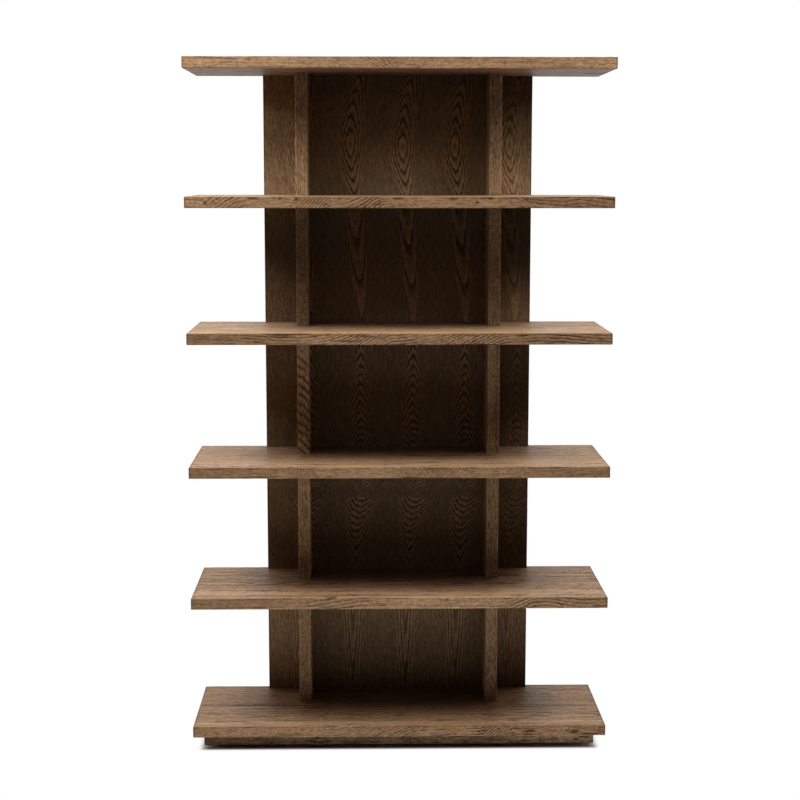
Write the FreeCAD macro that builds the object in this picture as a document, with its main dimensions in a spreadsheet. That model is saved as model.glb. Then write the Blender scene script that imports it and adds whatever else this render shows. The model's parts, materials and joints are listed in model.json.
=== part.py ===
"""Stained oak bookcase: six wide shelves stacked on a narrow spine of back panels and dividers.

The spine stands on a base shelf over a set-back plinth with four levelling feet. Millimetres, +Z up,
the front faces -Y, and the origin is on the floor under the middle of the shelves.
"""

import FreeCAD
import Part
import Sketcher
import os

# The driving dimensions: alias, value, what it measures.
SIZES = (
    ("shelf_width", 1200, "shelf, end to end"),
    ("shelf_depth", 380, "shelf, front edge to back edge"),
    ("shelf_thickness", 32, "shelf board"),
    ("shelf_edge_round", 2.5, "softened edges round a shelf's top and underside"),
    ("bay_height", 350, "clear height between two shelves"),
    ("back_width", 800, "back panel, side to side"),
    ("back_thickness", 25, "back panel"),
    ("back_edge_round", 2, "softened upright edges of the back panel"),
    ("divider_spread", 600, "outer face to outer face of the two dividers"),
    ("divider_thickness", 36, "divider"),
    ("divider_depth", 125, "divider, front edge to back panel"),
    ("divider_edge_round", 2, "softened front edges of a divider"),
    ("tongue_thickness", 12, "tongue on a divider's rear edge"),
    ("tongue_depth", 8, "how far the tongue enters the back panel"),
    ("glue_gap", 0.1, "room for glue on each side of a joint"),
    ("tenon_thickness", 10, "loose tenon"),
    ("tenon_width", 70, "loose tenon"),
    ("tenon_grip", 30, "loose tenon, depth in a divider or back panel"),
    ("tenon_end_grip", 22, "loose tenon, depth in the base shelf and the top shelf"),
    ("tenon_end_gap", 1, "room past the end of a tenon or screw"),
    ("back_tenon_inset", 60, "outer tenon's middle from the side of the back panel"),
    ("plinth_height", 48, "plinth rail"),
    ("plinth_thickness", 25, "plinth rail"),
    ("plinth_setback", 70, "plinth front behind the shelf front"),
    ("plinth_inset", 25, "plinth sides inside the shelf ends"),
    ("plinth_back_inset", 25, "plinth back inside the shelf back"),
    ("plinth_edge_round", 2, "softened lower edges of the plinth"),
    ("floor_gap", 10, "floor to plinth"),
    ("block_size", 60, "corner block, each way"),
    ("centre_rail_width", 25, "rail across the middle of the plinth"),
    ("foot_inset", 25, "foot axis from the plinth rails' inner faces"),
    ("pad_diameter", 40, "foot pad"),
    ("pad_height", 8, "foot pad"),
    ("pad_bevel", 2, "bevel round the top of the pad"),
    ("pad_socket_depth", 5, "socket for the stud in the pad"),
    ("stud_diameter", 8, "stud, over its thread"),
    ("stud_length", 30, "stud above its collar"),
    ("stud_clearance", 0.05, "running clearance round the stud"),
    ("stud_tip_chamfer", 1, "bevel on the top of the stud"),
    ("collar_flats", 13, "hexagon collar across its flats"),
    ("collar_height", 5, "hexagon collar"),
    ("running_gap", 0.3, "room above and below the collar"),
    ("insert_diameter", 12, "threaded insert"),
    ("insert_length", 15, "threaded insert with its flange"),
    ("flange_diameter", 18, "flange of the insert"),
    ("flange_thickness", 1.5, "flange of the insert"),
    ("screw_diameter", 5, "plinth screw"),
    ("screw_head_diameter", 10, "countersunk head of the plinth screw"),
    ("screw_length", 60, "plinth screw with its head"),
    ("screw_tip", 5, "pointed end of the plinth screw"),
    ("screw_inset", 9, "screw axis from a block's free faces"),
    ("strap_hole_diameter", 3, "pilot hole for a wall strap"),
    ("strap_hole_depth", 20, "pilot hole for a wall strap"),
    ("strap_hole_spread", 400, "between the two pilot holes"),
)

SHELVES = ("base_shelf", "shelf_1", "shelf_2", "shelf_3", "shelf_4", "top_shelf")
BAYS = len(SHELVES) - 1
SIDES = (("left", -1), ("right", 1))
ENDS = (("front", -1), ("back", 1))

# Places that several pieces share, as expressions on the sheet.
FRONT = "-sizes.shelf_depth / 2"
REAR = "sizes.shelf_depth / 2"
PANEL_FRONT = "sizes.shelf_depth / 2 - sizes.back_thickness"
DIVIDER_FRONT = f"{PANEL_FRONT} - sizes.divider_depth"
DIVIDER_CENTRE = "(sizes.divider_spread - sizes.divider_thickness) / 2"
PLINTH_TOP = "sizes.floor_gap + sizes.plinth_height"
PLINTH_SIDE = "(sizes.shelf_width / 2 - sizes.plinth_inset)"
PLINTH_FRONT = f"{FRONT} + sizes.plinth_setback"
PLINTH_REAR = f"{REAR} - sizes.plinth_back_inset"
RAIL_SIDE = f"({PLINTH_SIDE} - sizes.plinth_thickness)"
RAIL_FRONT = f"({PLINTH_FRONT} + sizes.plinth_thickness)"
RAIL_REAR = f"({PLINTH_REAR} - sizes.plinth_thickness)"
COLLAR_BOTTOM = "sizes.pad_height + sizes.running_gap"
BLOCK_BOTTOM = f"({COLLAR_BOTTOM} + sizes.collar_height + sizes.running_gap)"
BLOCK_HEIGHT = f"{PLINTH_TOP} - {BLOCK_BOTTOM}"
DIVIDER_MIDDLE = f"{PANEL_FRONT} - sizes.divider_depth / 2"
PANEL_MIDDLE = f"{REAR} - sizes.back_thickness / 2"
SCREW_HOLE = "sizes.screw_diameter + 2 * sizes.glue_gap"
GLUE = "sizes.glue_gap"

doc = FreeCAD.newDocument("bookcase")
sheet = doc.addObject("Spreadsheet::Sheet", "sizes")
for row, (alias, value, meaning) in enumerate(SIZES, start=1):
    sheet.set(f"A{row}", meaning)
    sheet.set(f"B{row}", str(value))
    sheet.setAlias(f"B{row}", alias)
doc.recompute()

pieces = []


def number(expression):
    """The present value of an expression on the sheet."""
    return float(sheet.evalExpression(expression))


def shelf_underside(level):
    return f"{PLINTH_TOP} + {level} * (sizes.bay_height + sizes.shelf_thickness)"


def bay_floor(bay):
    return f"{shelf_underside(bay)} + sizes.shelf_thickness"


def mirrored(side, expression):
    """The expression on the left (-1) or right (+1) of the middle plane."""
    return f"{side} * ({expression})"


def new_body(name, x="0", y="0", z="0"):
    body = doc.addObject("PartDesign::Body", name)
    body.Label = name
    for axis, expression in zip("xyz", (x, y, z)):
        body.setExpression(f"Placement.Base.{axis}", expression)
    return body


def sketch_on(body, name, role, offset="0"):
    """A sketch on one of the body's own origin planes, moved along the plane's normal."""
    plane = next(item for item in body.Origin.OriginFeatures if item.Role == role)
    sketch = body.newObject("Sketcher::SketchObject", f"{body.Name}_{name}")
    sketch.AttachmentSupport = [(plane, "")]
    sketch.MapMode = "FlatFace"
    sketch.setExpression("AttachmentOffset.Base.z", offset)
    return sketch


def hold_point(sketch, geometry, point, place):
    """Ties a point of the sketch to a place given by two expressions."""
    for kind, axis, expression in (("DistanceX", -2, place[0]), ("DistanceY", -1, place[1])):
        if number(expression) == 0:
            sketch.addConstraint(Sketcher.Constraint("PointOnObject", geometry, point, axis))
            continue
        held = Sketcher.Constraint(kind, -1, 1, geometry, point, number(expression))
        index = sketch.addConstraint(held)
        sketch.setExpression(f"Constraints[{index}]", expression)


def draw_outline(sketch, corners):
    """A closed outline of straight lines through corners given as expressions."""
    points = [FreeCAD.Vector(number(x), number(y), 0) for x, y in corners]
    following = [*points[1:], points[0]]
    lines = [sketch.addGeometry(Part.LineSegment(a, b), False) for a, b in zip(points, following)]
    for line, after in zip(lines, [*lines[1:], lines[0]]):
        sketch.addConstraint(Sketcher.Constraint("Coincident", line, 2, after, 1))
    for line, corner in zip(lines, corners):
        hold_point(sketch, line, 1, corner)


def draw_circles(sketch, centres, diameter):
    for centre in centres:
        middle = FreeCAD.Vector(number(centre[0]), number(centre[1]), 0)
        circle = Part.Circle(middle, FreeCAD.Vector(0, 0, 1), number(diameter) / 2)
        index = sketch.addGeometry(circle, False)
        hold_point(sketch, index, 3, centre)
        wide = sketch.addConstraint(Sketcher.Constraint("Diameter", index, number(diameter)))
        sketch.setExpression(f"Constraints[{wide}]", diameter)


def rectangle(x_low, x_high, y_low, y_high):
    return ((x_low, y_low), (x_high, y_low), (x_high, y_high), (x_low, y_high))


def extrude(body, corners, height):
    """A pad of the outline, from the body's XY plane up."""
    sketch = sketch_on(body, "outline", "XY_Plane")
    draw_outline(sketch, corners)
    pad = body.newObject("PartDesign::Pad", f"{body.Name}_pad")
    pad.Profile = sketch
    pad.setExpression("Length", height)
    doc.recompute()
    return pad


def revolve(body, profile):
    """A turned piece: the profile's x is its radius, and its y is its height."""
    sketch = sketch_on(body, "profile", "XZ_Plane")
    draw_outline(sketch, profile)
    turned = body.newObject("PartDesign::Revolution", f"{body.Name}_turned")
    turned.Profile = sketch
    turned.ReferenceAxis = (sketch, ["V_Axis"])
    turned.Angle = 360
    doc.recompute()
    return turned


def cut_something(body, name, before):
    doc.recompute()
    if not body.Shape.Volume < before:
        raise RuntimeError(f"{name} of {body.Label} cuts nothing")


def pocket(body, name, draw, depth, role="XY_Plane", offset="0", reverse=False):
    """Cuts what draw puts in a sketch: along the plane's normal when reversed, else against it."""
    before = body.Shape.Volume
    sketch = sketch_on(body, name, role, offset)
    draw(sketch)
    cut = body.newObject("PartDesign::Pocket", f"{body.Name}_{name}_pocket")
    cut.Profile = sketch
    cut.setExpression("Length", depth)
    cut.Reversed = reverse
    cut_something(body, name, before)


def bore(body, name, centres, diameter, depth, **plane):
    pocket(body, name, lambda sketch: draw_circles(sketch, centres, diameter), depth, **plane)


def mortise(body, name, sections, depth, **plane):
    def draw(sketch):
        for section in sections:
            draw_outline(sketch, section)

    pocket(body, name, draw, depth, **plane)


def drill(body, name, centre, diameter, cut_type, cut_sizes):
    """A hole up through a block from its underside, with a counterbore or countersink there."""
    before = body.Shape.Volume
    sketch = sketch_on(body, name, "XY_Plane")
    draw_circles(sketch, (centre,), diameter)
    doc.recompute()
    hole = body.newObject("PartDesign::Hole", f"{body.Name}_{name}_hole")
    hole.Profile = sketch
    doc.recompute()
    hole.Reversed = True
    hole.DrillPoint = "Flat"
    hole.DepthType = "Dimension"
    hole.HoleCutType = cut_type
    hole.HoleCutCustomValues = True
    hole.setExpression("Diameter", diameter)
    hole.setExpression("Depth", BLOCK_HEIGHT)
    for size, expression in cut_sizes.items():
        hole.setExpression(size, expression)
    cut_something(body, name, before)


def soften(body, base, radius, chosen):
    """Rounds the chosen edges of a feature."""
    names = [f"Edge{index}" for index, edge in enumerate(base.Shape.Edges, start=1) if chosen(edge)]
    fillet = body.newObject("PartDesign::Fillet", f"{body.Name}_soft_edges")
    fillet.Base = (base, names)
    fillet.setExpression("Radius", radius)
    doc.recompute()
    return fillet


def is_upright(edge):
    box = edge.BoundBox
    return box.ZLength > max(box.XLength, box.YLength)


def near(first, second):
    return abs(first - second) < 1e-6


def tenon_outline(x, y, along, room="0"):
    """A tenon's section about its middle, wide along X or Y, with room on each side."""
    wide = f"sizes.tenon_width / 2 + {room}"
    thin = f"sizes.tenon_thickness / 2 + {room}"
    reach_x, reach_y = (wide, thin) if along == "X" else (thin, wide)
    return rectangle(f"{x} - ({reach_x})", f"{x} + {reach_x}", f"{y} - ({reach_y})", f"{y} + {reach_y}")


def divider_tenons(sides, room="0"):
    """Sections of the tenons in the dividers on these sides."""
    return [tenon_outline(mirrored(side, DIVIDER_CENTRE), DIVIDER_MIDDLE, "Y", room) for side in sides]


def back_tenons(room="0"):
    """Sections of the three tenons in a back panel."""
    outer = "(sizes.back_width / 2 - sizes.back_tenon_inset)"
    return [tenon_outline(x, PANEL_MIDDLE, "X", room) for x in (f"-{outer}", "0", outer)]


def screw_places():
    """Screws up through the corner blocks into the base shelf."""
    reach = "(sizes.block_size - sizes.screw_inset)"
    columns = [mirrored(side, f"{RAIL_SIDE} - {reach}") for _, side in SIDES]
    rows = (f"{RAIL_FRONT} + {reach}", f"{RAIL_REAR} - {reach}")
    return [(x, y) for x in columns for y in rows]


def foot_place(side, end):
    x = mirrored(side, f"{RAIL_SIDE} - sizes.foot_inset")
    if end < 0:
        return x, f"{RAIL_FRONT} + sizes.foot_inset"
    return x, f"{RAIL_REAR} - sizes.foot_inset"


def build_shelf(level, name):
    """A shelf board, mortised for the tenons of the uprights above and below it."""
    body = new_body(name, z=shelf_underside(level))
    half = "sizes.shelf_width / 2"
    board = extrude(body, rectangle(f"-{half}", half, FRONT, REAR), "sizes.shelf_thickness")
    soften(body, board, "sizes.shelf_edge_round", lambda edge: not is_upright(edge))
    sections = [*divider_tenons((-1, 1), GLUE), *back_tenons(GLUE)]
    depth = "sizes.shelf_thickness"
    if level in (0, BAYS):
        depth = "sizes.tenon_end_grip + sizes.tenon_end_gap"
    if level == BAYS:
        mortise(body, "mortises", sections, depth, reverse=True)
        build_strap_holes(body)
    else:
        mortise(body, "mortises", sections, depth, offset="sizes.shelf_thickness")
    if level == 0:
        entry = f"{BLOCK_BOTTOM} + sizes.screw_length - ({PLINTH_TOP}) + sizes.tenon_end_gap"
        bore(body, "screws", screw_places(), SCREW_HOLE, entry, reverse=True)
    pieces.append(body)


def build_strap_holes(body):
    """Two pilot holes in the rear edge of the top shelf, for a strap to the wall."""
    spread = "sizes.strap_hole_spread / 2"
    middle = "sizes.shelf_thickness / 2"
    places = [(f"-{spread}", middle), (spread, middle)]
    bore(body, "straps", places, "sizes.strap_hole_diameter", "sizes.strap_hole_depth",
         role="XZ_Plane", offset=f"-({REAR})", reverse=True)


def build_back_panel(bay):
    """A back panel with two upright grooves for the dividers' tongues."""
    body = new_body(f"back_panel_{bay + 1}", z=bay_floor(bay))
    half = "sizes.back_width / 2"
    floor = f"{PANEL_FRONT} + sizes.tongue_depth + sizes.glue_gap"
    reach = "(sizes.tongue_thickness / 2 + sizes.glue_gap)"
    inner = f"{DIVIDER_CENTRE} - {reach}"
    outer = f"{DIVIDER_CENTRE} + {reach}"
    right = [(inner, PANEL_FRONT), (inner, floor), (outer, floor), (outer, PANEL_FRONT)]
    left = [(f"-({x})", y) for x, y in reversed(right)]
    ends = [(half, PANEL_FRONT), (half, REAR), (f"-{half}", REAR), (f"-{half}", PANEL_FRONT)]
    panel = extrude(body, [*left, *right, *ends], "sizes.bay_height")
    side = number(half)
    soften(body, panel, "sizes.back_edge_round",
           lambda edge: is_upright(edge) and near(abs(edge.BoundBox.Center.x), side))
    mortise_both_ends(body, back_tenons(GLUE))
    pieces.append(body)


def build_divider(bay, word, side):
    """A divider with a tongue along its rear edge."""
    body = new_body(f"{word}_divider_{bay + 1}", z=bay_floor(bay))
    inner = mirrored(side, f"{DIVIDER_CENTRE} - sizes.divider_thickness / 2")
    outer = mirrored(side, f"{DIVIDER_CENTRE} + sizes.divider_thickness / 2")
    tongue_inner = mirrored(side, f"{DIVIDER_CENTRE} - sizes.tongue_thickness / 2")
    tongue_outer = mirrored(side, f"{DIVIDER_CENTRE} + sizes.tongue_thickness / 2")
    tip = f"{PANEL_FRONT} + sizes.tongue_depth"
    corners = [(inner, DIVIDER_FRONT), (outer, DIVIDER_FRONT), (outer, PANEL_FRONT),
               (tongue_outer, PANEL_FRONT), (tongue_outer, tip), (tongue_inner, tip),
               (tongue_inner, PANEL_FRONT), (inner, PANEL_FRONT)]
    board = extrude(body, corners, "sizes.bay_height")
    front = number(DIVIDER_FRONT)
    soften(body, board, "sizes.divider_edge_round",
           lambda edge: is_upright(edge) and near(edge.BoundBox.Center.y, front))
    mortise_both_ends(body, divider_tenons((side,), GLUE))
    pieces.append(body)


def mortise_both_ends(body, sections):
    """Mortises down from the top and up from the bottom of an upright."""
    depth = "sizes.tenon_grip + sizes.tenon_end_gap"
    mortise(body, "lower_mortises", sections, depth, reverse=True)
    mortise(body, "upper_mortises", sections, depth, offset="sizes.bay_height")


def build_tenons(name, sections):
    """Loose tenons through each shelf into the uprights above and below, as one group."""
    tenons = []
    for level in range(len(SHELVES)):
        low = f"{shelf_underside(level)} - sizes.tenon_grip"
        height = "sizes.shelf_thickness + 2 * sizes.tenon_grip"
        if level == 0:
            low = f"{bay_floor(0)} - sizes.tenon_end_grip"
        if level in (0, BAYS):
            height = "sizes.tenon_end_grip + sizes.tenon_grip"
        for (x_low, y_low), _, (x_high, y_high), _ in sections:
            tenon = doc.addObject("Part::Box", f"{name}_{len(tenons) + 1}")
            tenon.setExpression("Length", f"{x_high} - ({x_low})")
            tenon.setExpression("Width", f"{y_high} - ({y_low})")
            tenon.setExpression("Height", height)
            for axis, expression in zip("xyz", (x_low, y_low, low)):
                tenon.setExpression(f"Placement.Base.{axis}", expression)
            tenons.append(tenon)
    gather(name, tenons)


def gather(name, members):
    """A node of several like solids."""
    group = doc.addObject("Part::Compound", name)
    group.Label = name
    group.Links = members
    pieces.append(group)


def build_rail(name, corners, chosen=None):
    """A plinth rail, with its lower outer edge softened where one is chosen."""
    body = new_body(name, z="sizes.floor_gap")
    rail = extrude(body, corners, "sizes.plinth_height")
    if chosen:
        soften(body, rail, "sizes.plinth_edge_round", chosen)
    pieces.append(body)


def build_plinth():
    """Front and side rails mitred at the front, the back rail between the sides, and a centre rail."""
    def lower_at(axis, expression):
        place = number(expression)
        return lambda edge: (near(edge.BoundBox.ZMax, 0)
                             and near(getattr(edge.BoundBox, f"{axis}Min"), place)
                             and near(getattr(edge.BoundBox, f"{axis}Max"), place))

    front = ((f"-{PLINTH_SIDE}", PLINTH_FRONT), (PLINTH_SIDE, PLINTH_FRONT),
             (RAIL_SIDE, RAIL_FRONT), (f"-{RAIL_SIDE}", RAIL_FRONT))
    build_rail("plinth_front_rail", front, lower_at("Y", PLINTH_FRONT))
    for word, side in SIDES:
        outer = mirrored(side, PLINTH_SIDE)
        inner = mirrored(side, RAIL_SIDE)
        corners = ((outer, PLINTH_FRONT), (inner, RAIL_FRONT), (inner, PLINTH_REAR), (outer, PLINTH_REAR))
        build_rail(f"plinth_{word}_rail", corners, lower_at("X", outer))
    build_rail("plinth_back_rail", rectangle(f"-{RAIL_SIDE}", RAIL_SIDE, RAIL_REAR, PLINTH_REAR))
    half = "sizes.centre_rail_width / 2"
    build_rail("plinth_centre_rail", rectangle(f"-{half}", half, RAIL_FRONT, RAIL_REAR))


def build_foot(word, side, end_word, end):
    """A corner block with a levelling foot: the block, its pad and its stud. Returns the insert."""
    x, y = foot_place(side, end)
    build_corner_block(f"corner_block_{end_word}_{word}", x, y, side, end)
    build_pad(f"foot_pad_{end_word}_{word}", x, y)
    build_stud(f"foot_stud_{end_word}_{word}", x, y)
    return build_insert(f"insert_{end_word}_{word}", x, y)


def build_corner_block(name, x, y, side, end):
    """A block in a corner of the plinth, bored for the insert, the stud and a screw into the base."""
    body = new_body(name, x, y, BLOCK_BOTTOM)
    near_face = "sizes.foot_inset"
    far_face = "(sizes.foot_inset - sizes.block_size)"
    corners = rectangle(mirrored(side, near_face), mirrored(side, far_face),
                        mirrored(end, near_face), mirrored(end, far_face))
    extrude(body, corners, BLOCK_HEIGHT)
    drill(body, "insert", ("0", "0"), "sizes.insert_diameter + 2 * sizes.glue_gap", "Counterbore",
          {"HoleCutDiameter": "sizes.flange_diameter + 2 * sizes.glue_gap",
           "HoleCutDepth": "sizes.flange_thickness"})
    screw = f"{far_face} + sizes.screw_inset"
    drill(body, "screw", (mirrored(side, screw), mirrored(end, screw)), SCREW_HOLE, "Countersink",
          {"HoleCutDiameter": "sizes.screw_head_diameter + 2 * sizes.glue_gap"})
    pieces.append(body)


def build_pad(name, x, y):
    """The foot's pad, with a socket that the stud turns in."""
    body = new_body(name, x, y)
    rim = "sizes.pad_diameter / 2"
    socket = "sizes.stud_diameter / 2 + sizes.stud_clearance"
    floor = "sizes.pad_height - sizes.pad_socket_depth"
    shoulder = f"{rim} - sizes.pad_bevel"
    revolve(body, (("0", "0"), (rim, "0"), (rim, "sizes.pad_height - sizes.pad_bevel"),
                   (shoulder, "sizes.pad_height"), (socket, "sizes.pad_height"),
                   (socket, floor), ("0", floor)))
    pieces.append(body)


def build_stud(name, x, y):
    """The foot's stud: a threaded shank with a hexagon collar, which turns in the pad's socket."""
    body = new_body(name, x, y)
    radius = "sizes.stud_diameter / 2"
    low = f"{COLLAR_BOTTOM} - sizes.pad_socket_depth"
    top = f"{COLLAR_BOTTOM} + sizes.collar_height + sizes.stud_length"
    revolve(body, (("0", low), (radius, low), (radius, f"{top} - sizes.stud_tip_chamfer"),
                   (f"{radius} - sizes.stud_tip_chamfer", top), ("0", top)))
    corner = "sizes.collar_flats / sqrt(3)"
    flat = "sizes.collar_flats / 2"
    hexagon = ((corner, "0"), (f"{corner} / 2", flat), (f"-{corner} / 2", flat),
               (f"-{corner}", "0"), (f"-{corner} / 2", f"-{flat}"), (f"{corner} / 2", f"-{flat}"))
    sketch = sketch_on(body, "collar", "XY_Plane", COLLAR_BOTTOM)
    draw_outline(sketch, hexagon)
    collar = body.newObject("PartDesign::Pad", f"{name}_collar_pad")
    collar.Profile = sketch
    collar.setExpression("Length", "sizes.collar_height")
    pieces.append(body)


def build_insert(name, x, y):
    """A flanged insert in the corner block, which the stud screws into."""
    body = new_body(name, x, y, BLOCK_BOTTOM)
    thread = "sizes.stud_diameter / 2 + sizes.stud_clearance"
    barrel = "sizes.insert_diameter / 2"
    flange = "sizes.flange_diameter / 2"
    revolve(body, ((thread, "0"), (flange, "0"), (flange, "sizes.flange_thickness"),
                   (barrel, "sizes.flange_thickness"), (barrel, "sizes.insert_length"),
                   (thread, "sizes.insert_length")))
    return body


def build_screw(name, x, y):
    """A countersunk wood screw, head down."""
    body = new_body(name, x, y, BLOCK_BOTTOM)
    head = "sizes.screw_head_diameter / 2"
    shank = "sizes.screw_diameter / 2"
    shoulder = f"{head} - {shank}"
    revolve(body, (("0", "0"), (head, "0"), (shank, shoulder),
                   (shank, "sizes.screw_length - sizes.screw_tip"), ("0", "sizes.screw_length")))
    return body


def check_document():
    """Stops before anything is written if an object failed or a piece has no sound shape."""
    doc.recompute()
    for item in doc.Objects:
        if {"Invalid", "Error"} & set(item.State):
            raise RuntimeError(f"{item.Label} failed: {item.State}")
    for piece in pieces:
        if piece.Shape.isNull() or not piece.Shape.isValid():
            raise RuntimeError(f"{piece.Label} has no sound shape")


for shelf_level, shelf_name in enumerate(SHELVES):
    build_shelf(shelf_level, shelf_name)
for bay_number in range(BAYS):
    build_back_panel(bay_number)
    for side_word, side_sign in SIDES:
        build_divider(bay_number, side_word, side_sign)
build_tenons("divider_tenons", divider_tenons((-1, 1)))
build_tenons("back_tenons", back_tenons())
build_plinth()
inserts = []
for end_name, end_sign in ENDS:
    for side_word, side_sign in SIDES:
        inserts.append(build_foot(side_word, side_sign, end_name, end_sign))
gather("foot_inserts", inserts)
screws = [build_screw(f"screw_{count}", x, y) for count, (x, y) in enumerate(screw_places(), start=1)]
gather("plinth_screws", screws)

check_document()
os.makedirs("parts", exist_ok=True)
for piece in pieces:
    piece.Shape.exportStep(f"parts/{piece.Label}.step")
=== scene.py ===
"""Looks of a stained oak bookcase: worn glued-up shelves, slip-matched veneer backs, plinth and feet.

Written as an add-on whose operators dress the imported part. Metres, in the part's own frame: +Z up, the
front faces -Y, the origin is on the floor under the middle of the shelves.
"""

import json
import math
import random
from collections import namedtuple

import bmesh
import bpy
import numpy as np
from bpy.props import FloatProperty, FloatVectorProperty, IntProperty, PointerProperty
from mathutils import Matrix, Vector, noise


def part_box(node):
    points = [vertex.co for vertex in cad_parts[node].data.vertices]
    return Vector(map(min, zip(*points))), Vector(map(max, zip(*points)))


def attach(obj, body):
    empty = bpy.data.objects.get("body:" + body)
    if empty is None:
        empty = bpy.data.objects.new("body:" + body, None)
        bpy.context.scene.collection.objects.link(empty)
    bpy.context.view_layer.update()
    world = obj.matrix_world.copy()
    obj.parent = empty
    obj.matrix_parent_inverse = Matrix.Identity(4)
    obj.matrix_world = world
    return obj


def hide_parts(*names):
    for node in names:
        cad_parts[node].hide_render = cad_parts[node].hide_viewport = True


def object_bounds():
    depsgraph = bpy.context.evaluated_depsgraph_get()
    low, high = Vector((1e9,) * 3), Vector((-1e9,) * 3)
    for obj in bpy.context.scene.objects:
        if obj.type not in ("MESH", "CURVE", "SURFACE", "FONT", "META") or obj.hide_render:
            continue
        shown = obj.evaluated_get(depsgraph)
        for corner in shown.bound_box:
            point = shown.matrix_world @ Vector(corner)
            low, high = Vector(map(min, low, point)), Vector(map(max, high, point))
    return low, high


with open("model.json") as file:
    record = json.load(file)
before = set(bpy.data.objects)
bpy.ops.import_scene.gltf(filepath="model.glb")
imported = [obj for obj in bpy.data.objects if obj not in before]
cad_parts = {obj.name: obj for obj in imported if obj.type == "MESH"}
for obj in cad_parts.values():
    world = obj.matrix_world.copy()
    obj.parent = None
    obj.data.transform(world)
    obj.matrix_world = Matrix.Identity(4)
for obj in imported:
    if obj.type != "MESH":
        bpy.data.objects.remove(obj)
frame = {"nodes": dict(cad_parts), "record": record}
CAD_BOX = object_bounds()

bl_info = {
    "name": "Stained Oak Bookcase",
    "version": (1, 0, 0),
    "blender": (4, 5, 0),
    "location": "View3D > Sidebar > Bookcase",
    "description": "Dresses the bookcase in worn oak, crown-cut veneer and zinc, and sets its studio",
    "category": "Object",
}

CARCASS = "carcass"
X, Y, Z = 0, 1, 2

SHELVES = ("base_shelf", "shelf_1", "shelf_2", "shelf_3", "shelf_4", "top_shelf")
BAYS = range(1, len(SHELVES))
SIDES = ("left", "right")
RAILS = ("front", "left", "right", "back", "centre")
CORNERS = ("front_left", "front_right", "back_left", "back_right")

# How a board lay in its log. The pith passes the board's middle at pith, on the two axes across the grain,
# and leans by slope. Shift moves the board along the log, tone shades it, wander is how far rings stray,
# and early is the share of dark wood in a ring, 1 being usual.
Log = namedtuple("Log", "pith slope shift tone wander ring_width early")

# What a plain log is drawn from: its greatest slopes, and spans of the rest.
Spans = namedtuple("Spans", "slopes tone wander ring_width early")

# The figure of a veneered bay:
# axes and eyes, the leaves' axes across the panel and the heights of their eyes,
# ring_width, rates, softness and ease, how wide a ring is, how fast the rings rise below and above the eye,
# how softly they turn there, and how that eases off,
# depths, lean and bend, how far the pith lies behind the panel's foot and head, how the axis leans, and how
# it bends below and above a height,
# reach, the figure's half width as points of (height, width),
# swirl, its place from the axis, its height and its radius,
# tones and sides, the painted light and shade of the panel's front as points of (height over its foot,
# shade), and those of its foot, middle and head to the left and right of the dividers,
# early, wander, lift and tips, the share of dark wood in a ring, how far rings stray, how much lighter than
# the margins the pale wood is, and how clear the rings' tips are.
Crown = namedtuple("Crown", "axes eyes ring_width rates softness ease depths lean bend reach swirl tones "
                            "sides early wander lift tips")

# A small knot: its middle, its radius, and how much longer it is along the grain.
Knot = namedtuple("Knot", "place radius stretch")

# How strongly a stained oak shows its rings, pores, checks, streaks and flecks, how many flecks it has to a
# metre along and across the grain, how bright its rubbed edges are, how it shines, its bloom at a glance,
# how fast each colour falls as the stain deepens, and how broken its rings are.
Grain = namedtuple("Grain", "rings pores checks streaks flecks fleck_scale wear gloss bloom stain breaks")


# Settings that a user would change


def colour(name, description, default):
    return FloatVectorProperty(name=name, description=description, default=default,
                               subtype="COLOR", size=3, min=0.0, max=1.0)


def distance(name, description, default):
    return FloatProperty(name=name, description=description, default=default,
                         subtype="DISTANCE", unit="LENGTH", min=0.0)


def share(name, description, default):
    return FloatProperty(name=name, description=description, default=default,
                         subtype="FACTOR", min=0.0, max=1.0)


class WoodColours(bpy.types.PropertyGroup):
    """Colours of the woods and fittings."""

    shelf_light: colour("Shelf light wood", "Late wood of the shelves", (0.352, 0.211, 0.1135))
    shelf_dark: colour("Shelf dark wood", "Early wood of the shelves", (0.074, 0.036, 0.0145))
    divider_light: colour("Divider light wood", "Late wood of the dividers", (0.31, 0.19, 0.099))
    divider_dark: colour("Divider dark wood", "Early wood of the dividers", (0.07, 0.038, 0.017))
    veneer_light: colour("Veneer light wood", "Late wood of the back panels", (0.201, 0.129, 0.0685))
    veneer_dark: colour("Veneer dark wood", "Early wood of the back panels", (0.024, 0.012, 0.005))
    plinth_light: colour("Plinth light wood", "Late wood of the plinth", (0.332, 0.212, 0.121))
    plinth_dark: colour("Plinth dark wood", "Early wood of the plinth", (0.06, 0.034, 0.016))
    pore: colour("Pore", "Stain gathered in the open pores", (0.03, 0.016, 0.007))
    softwood_light: colour("Softwood light", "Spring wood of the corner blocks", (0.60, 0.43, 0.27))
    softwood_dark: colour("Softwood dark", "Summer wood of the corner blocks", (0.43, 0.25, 0.12))
    beech_light: colour("Beech light", "Ground of the loose tenons", (0.60, 0.42, 0.26))
    beech_dark: colour("Beech dark", "Flecks of the loose tenons", (0.44, 0.28, 0.15))
    zinc: colour("Zinc", "Plating of the studs, inserts and screws", (0.62, 0.63, 0.64))
    nylon: colour("Nylon", "Moulded foot pads", (0.022, 0.022, 0.023))


class BoardWear(bpy.types.PropertyGroup):
    """How the boards are softened and worn."""

    rounding: distance("Rounding", "Usual radius of a softened edge", 0.0024)
    unevenness: share("Unevenness", "How much the radius varies along an edge", 0.55)
    dent_depth: distance("Dent depth", "Added radius in a dent", 0.0022)
    dent_spacing: distance("Dent spacing", "Usual way from one dent to the next", 0.09)
    mesh_step: distance("Mesh step", "Spacing of the mesh lines", 0.012)
    seed: IntProperty(name="Seed", description="Draw of the staves, logs and dents", default=7, min=0)


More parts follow.
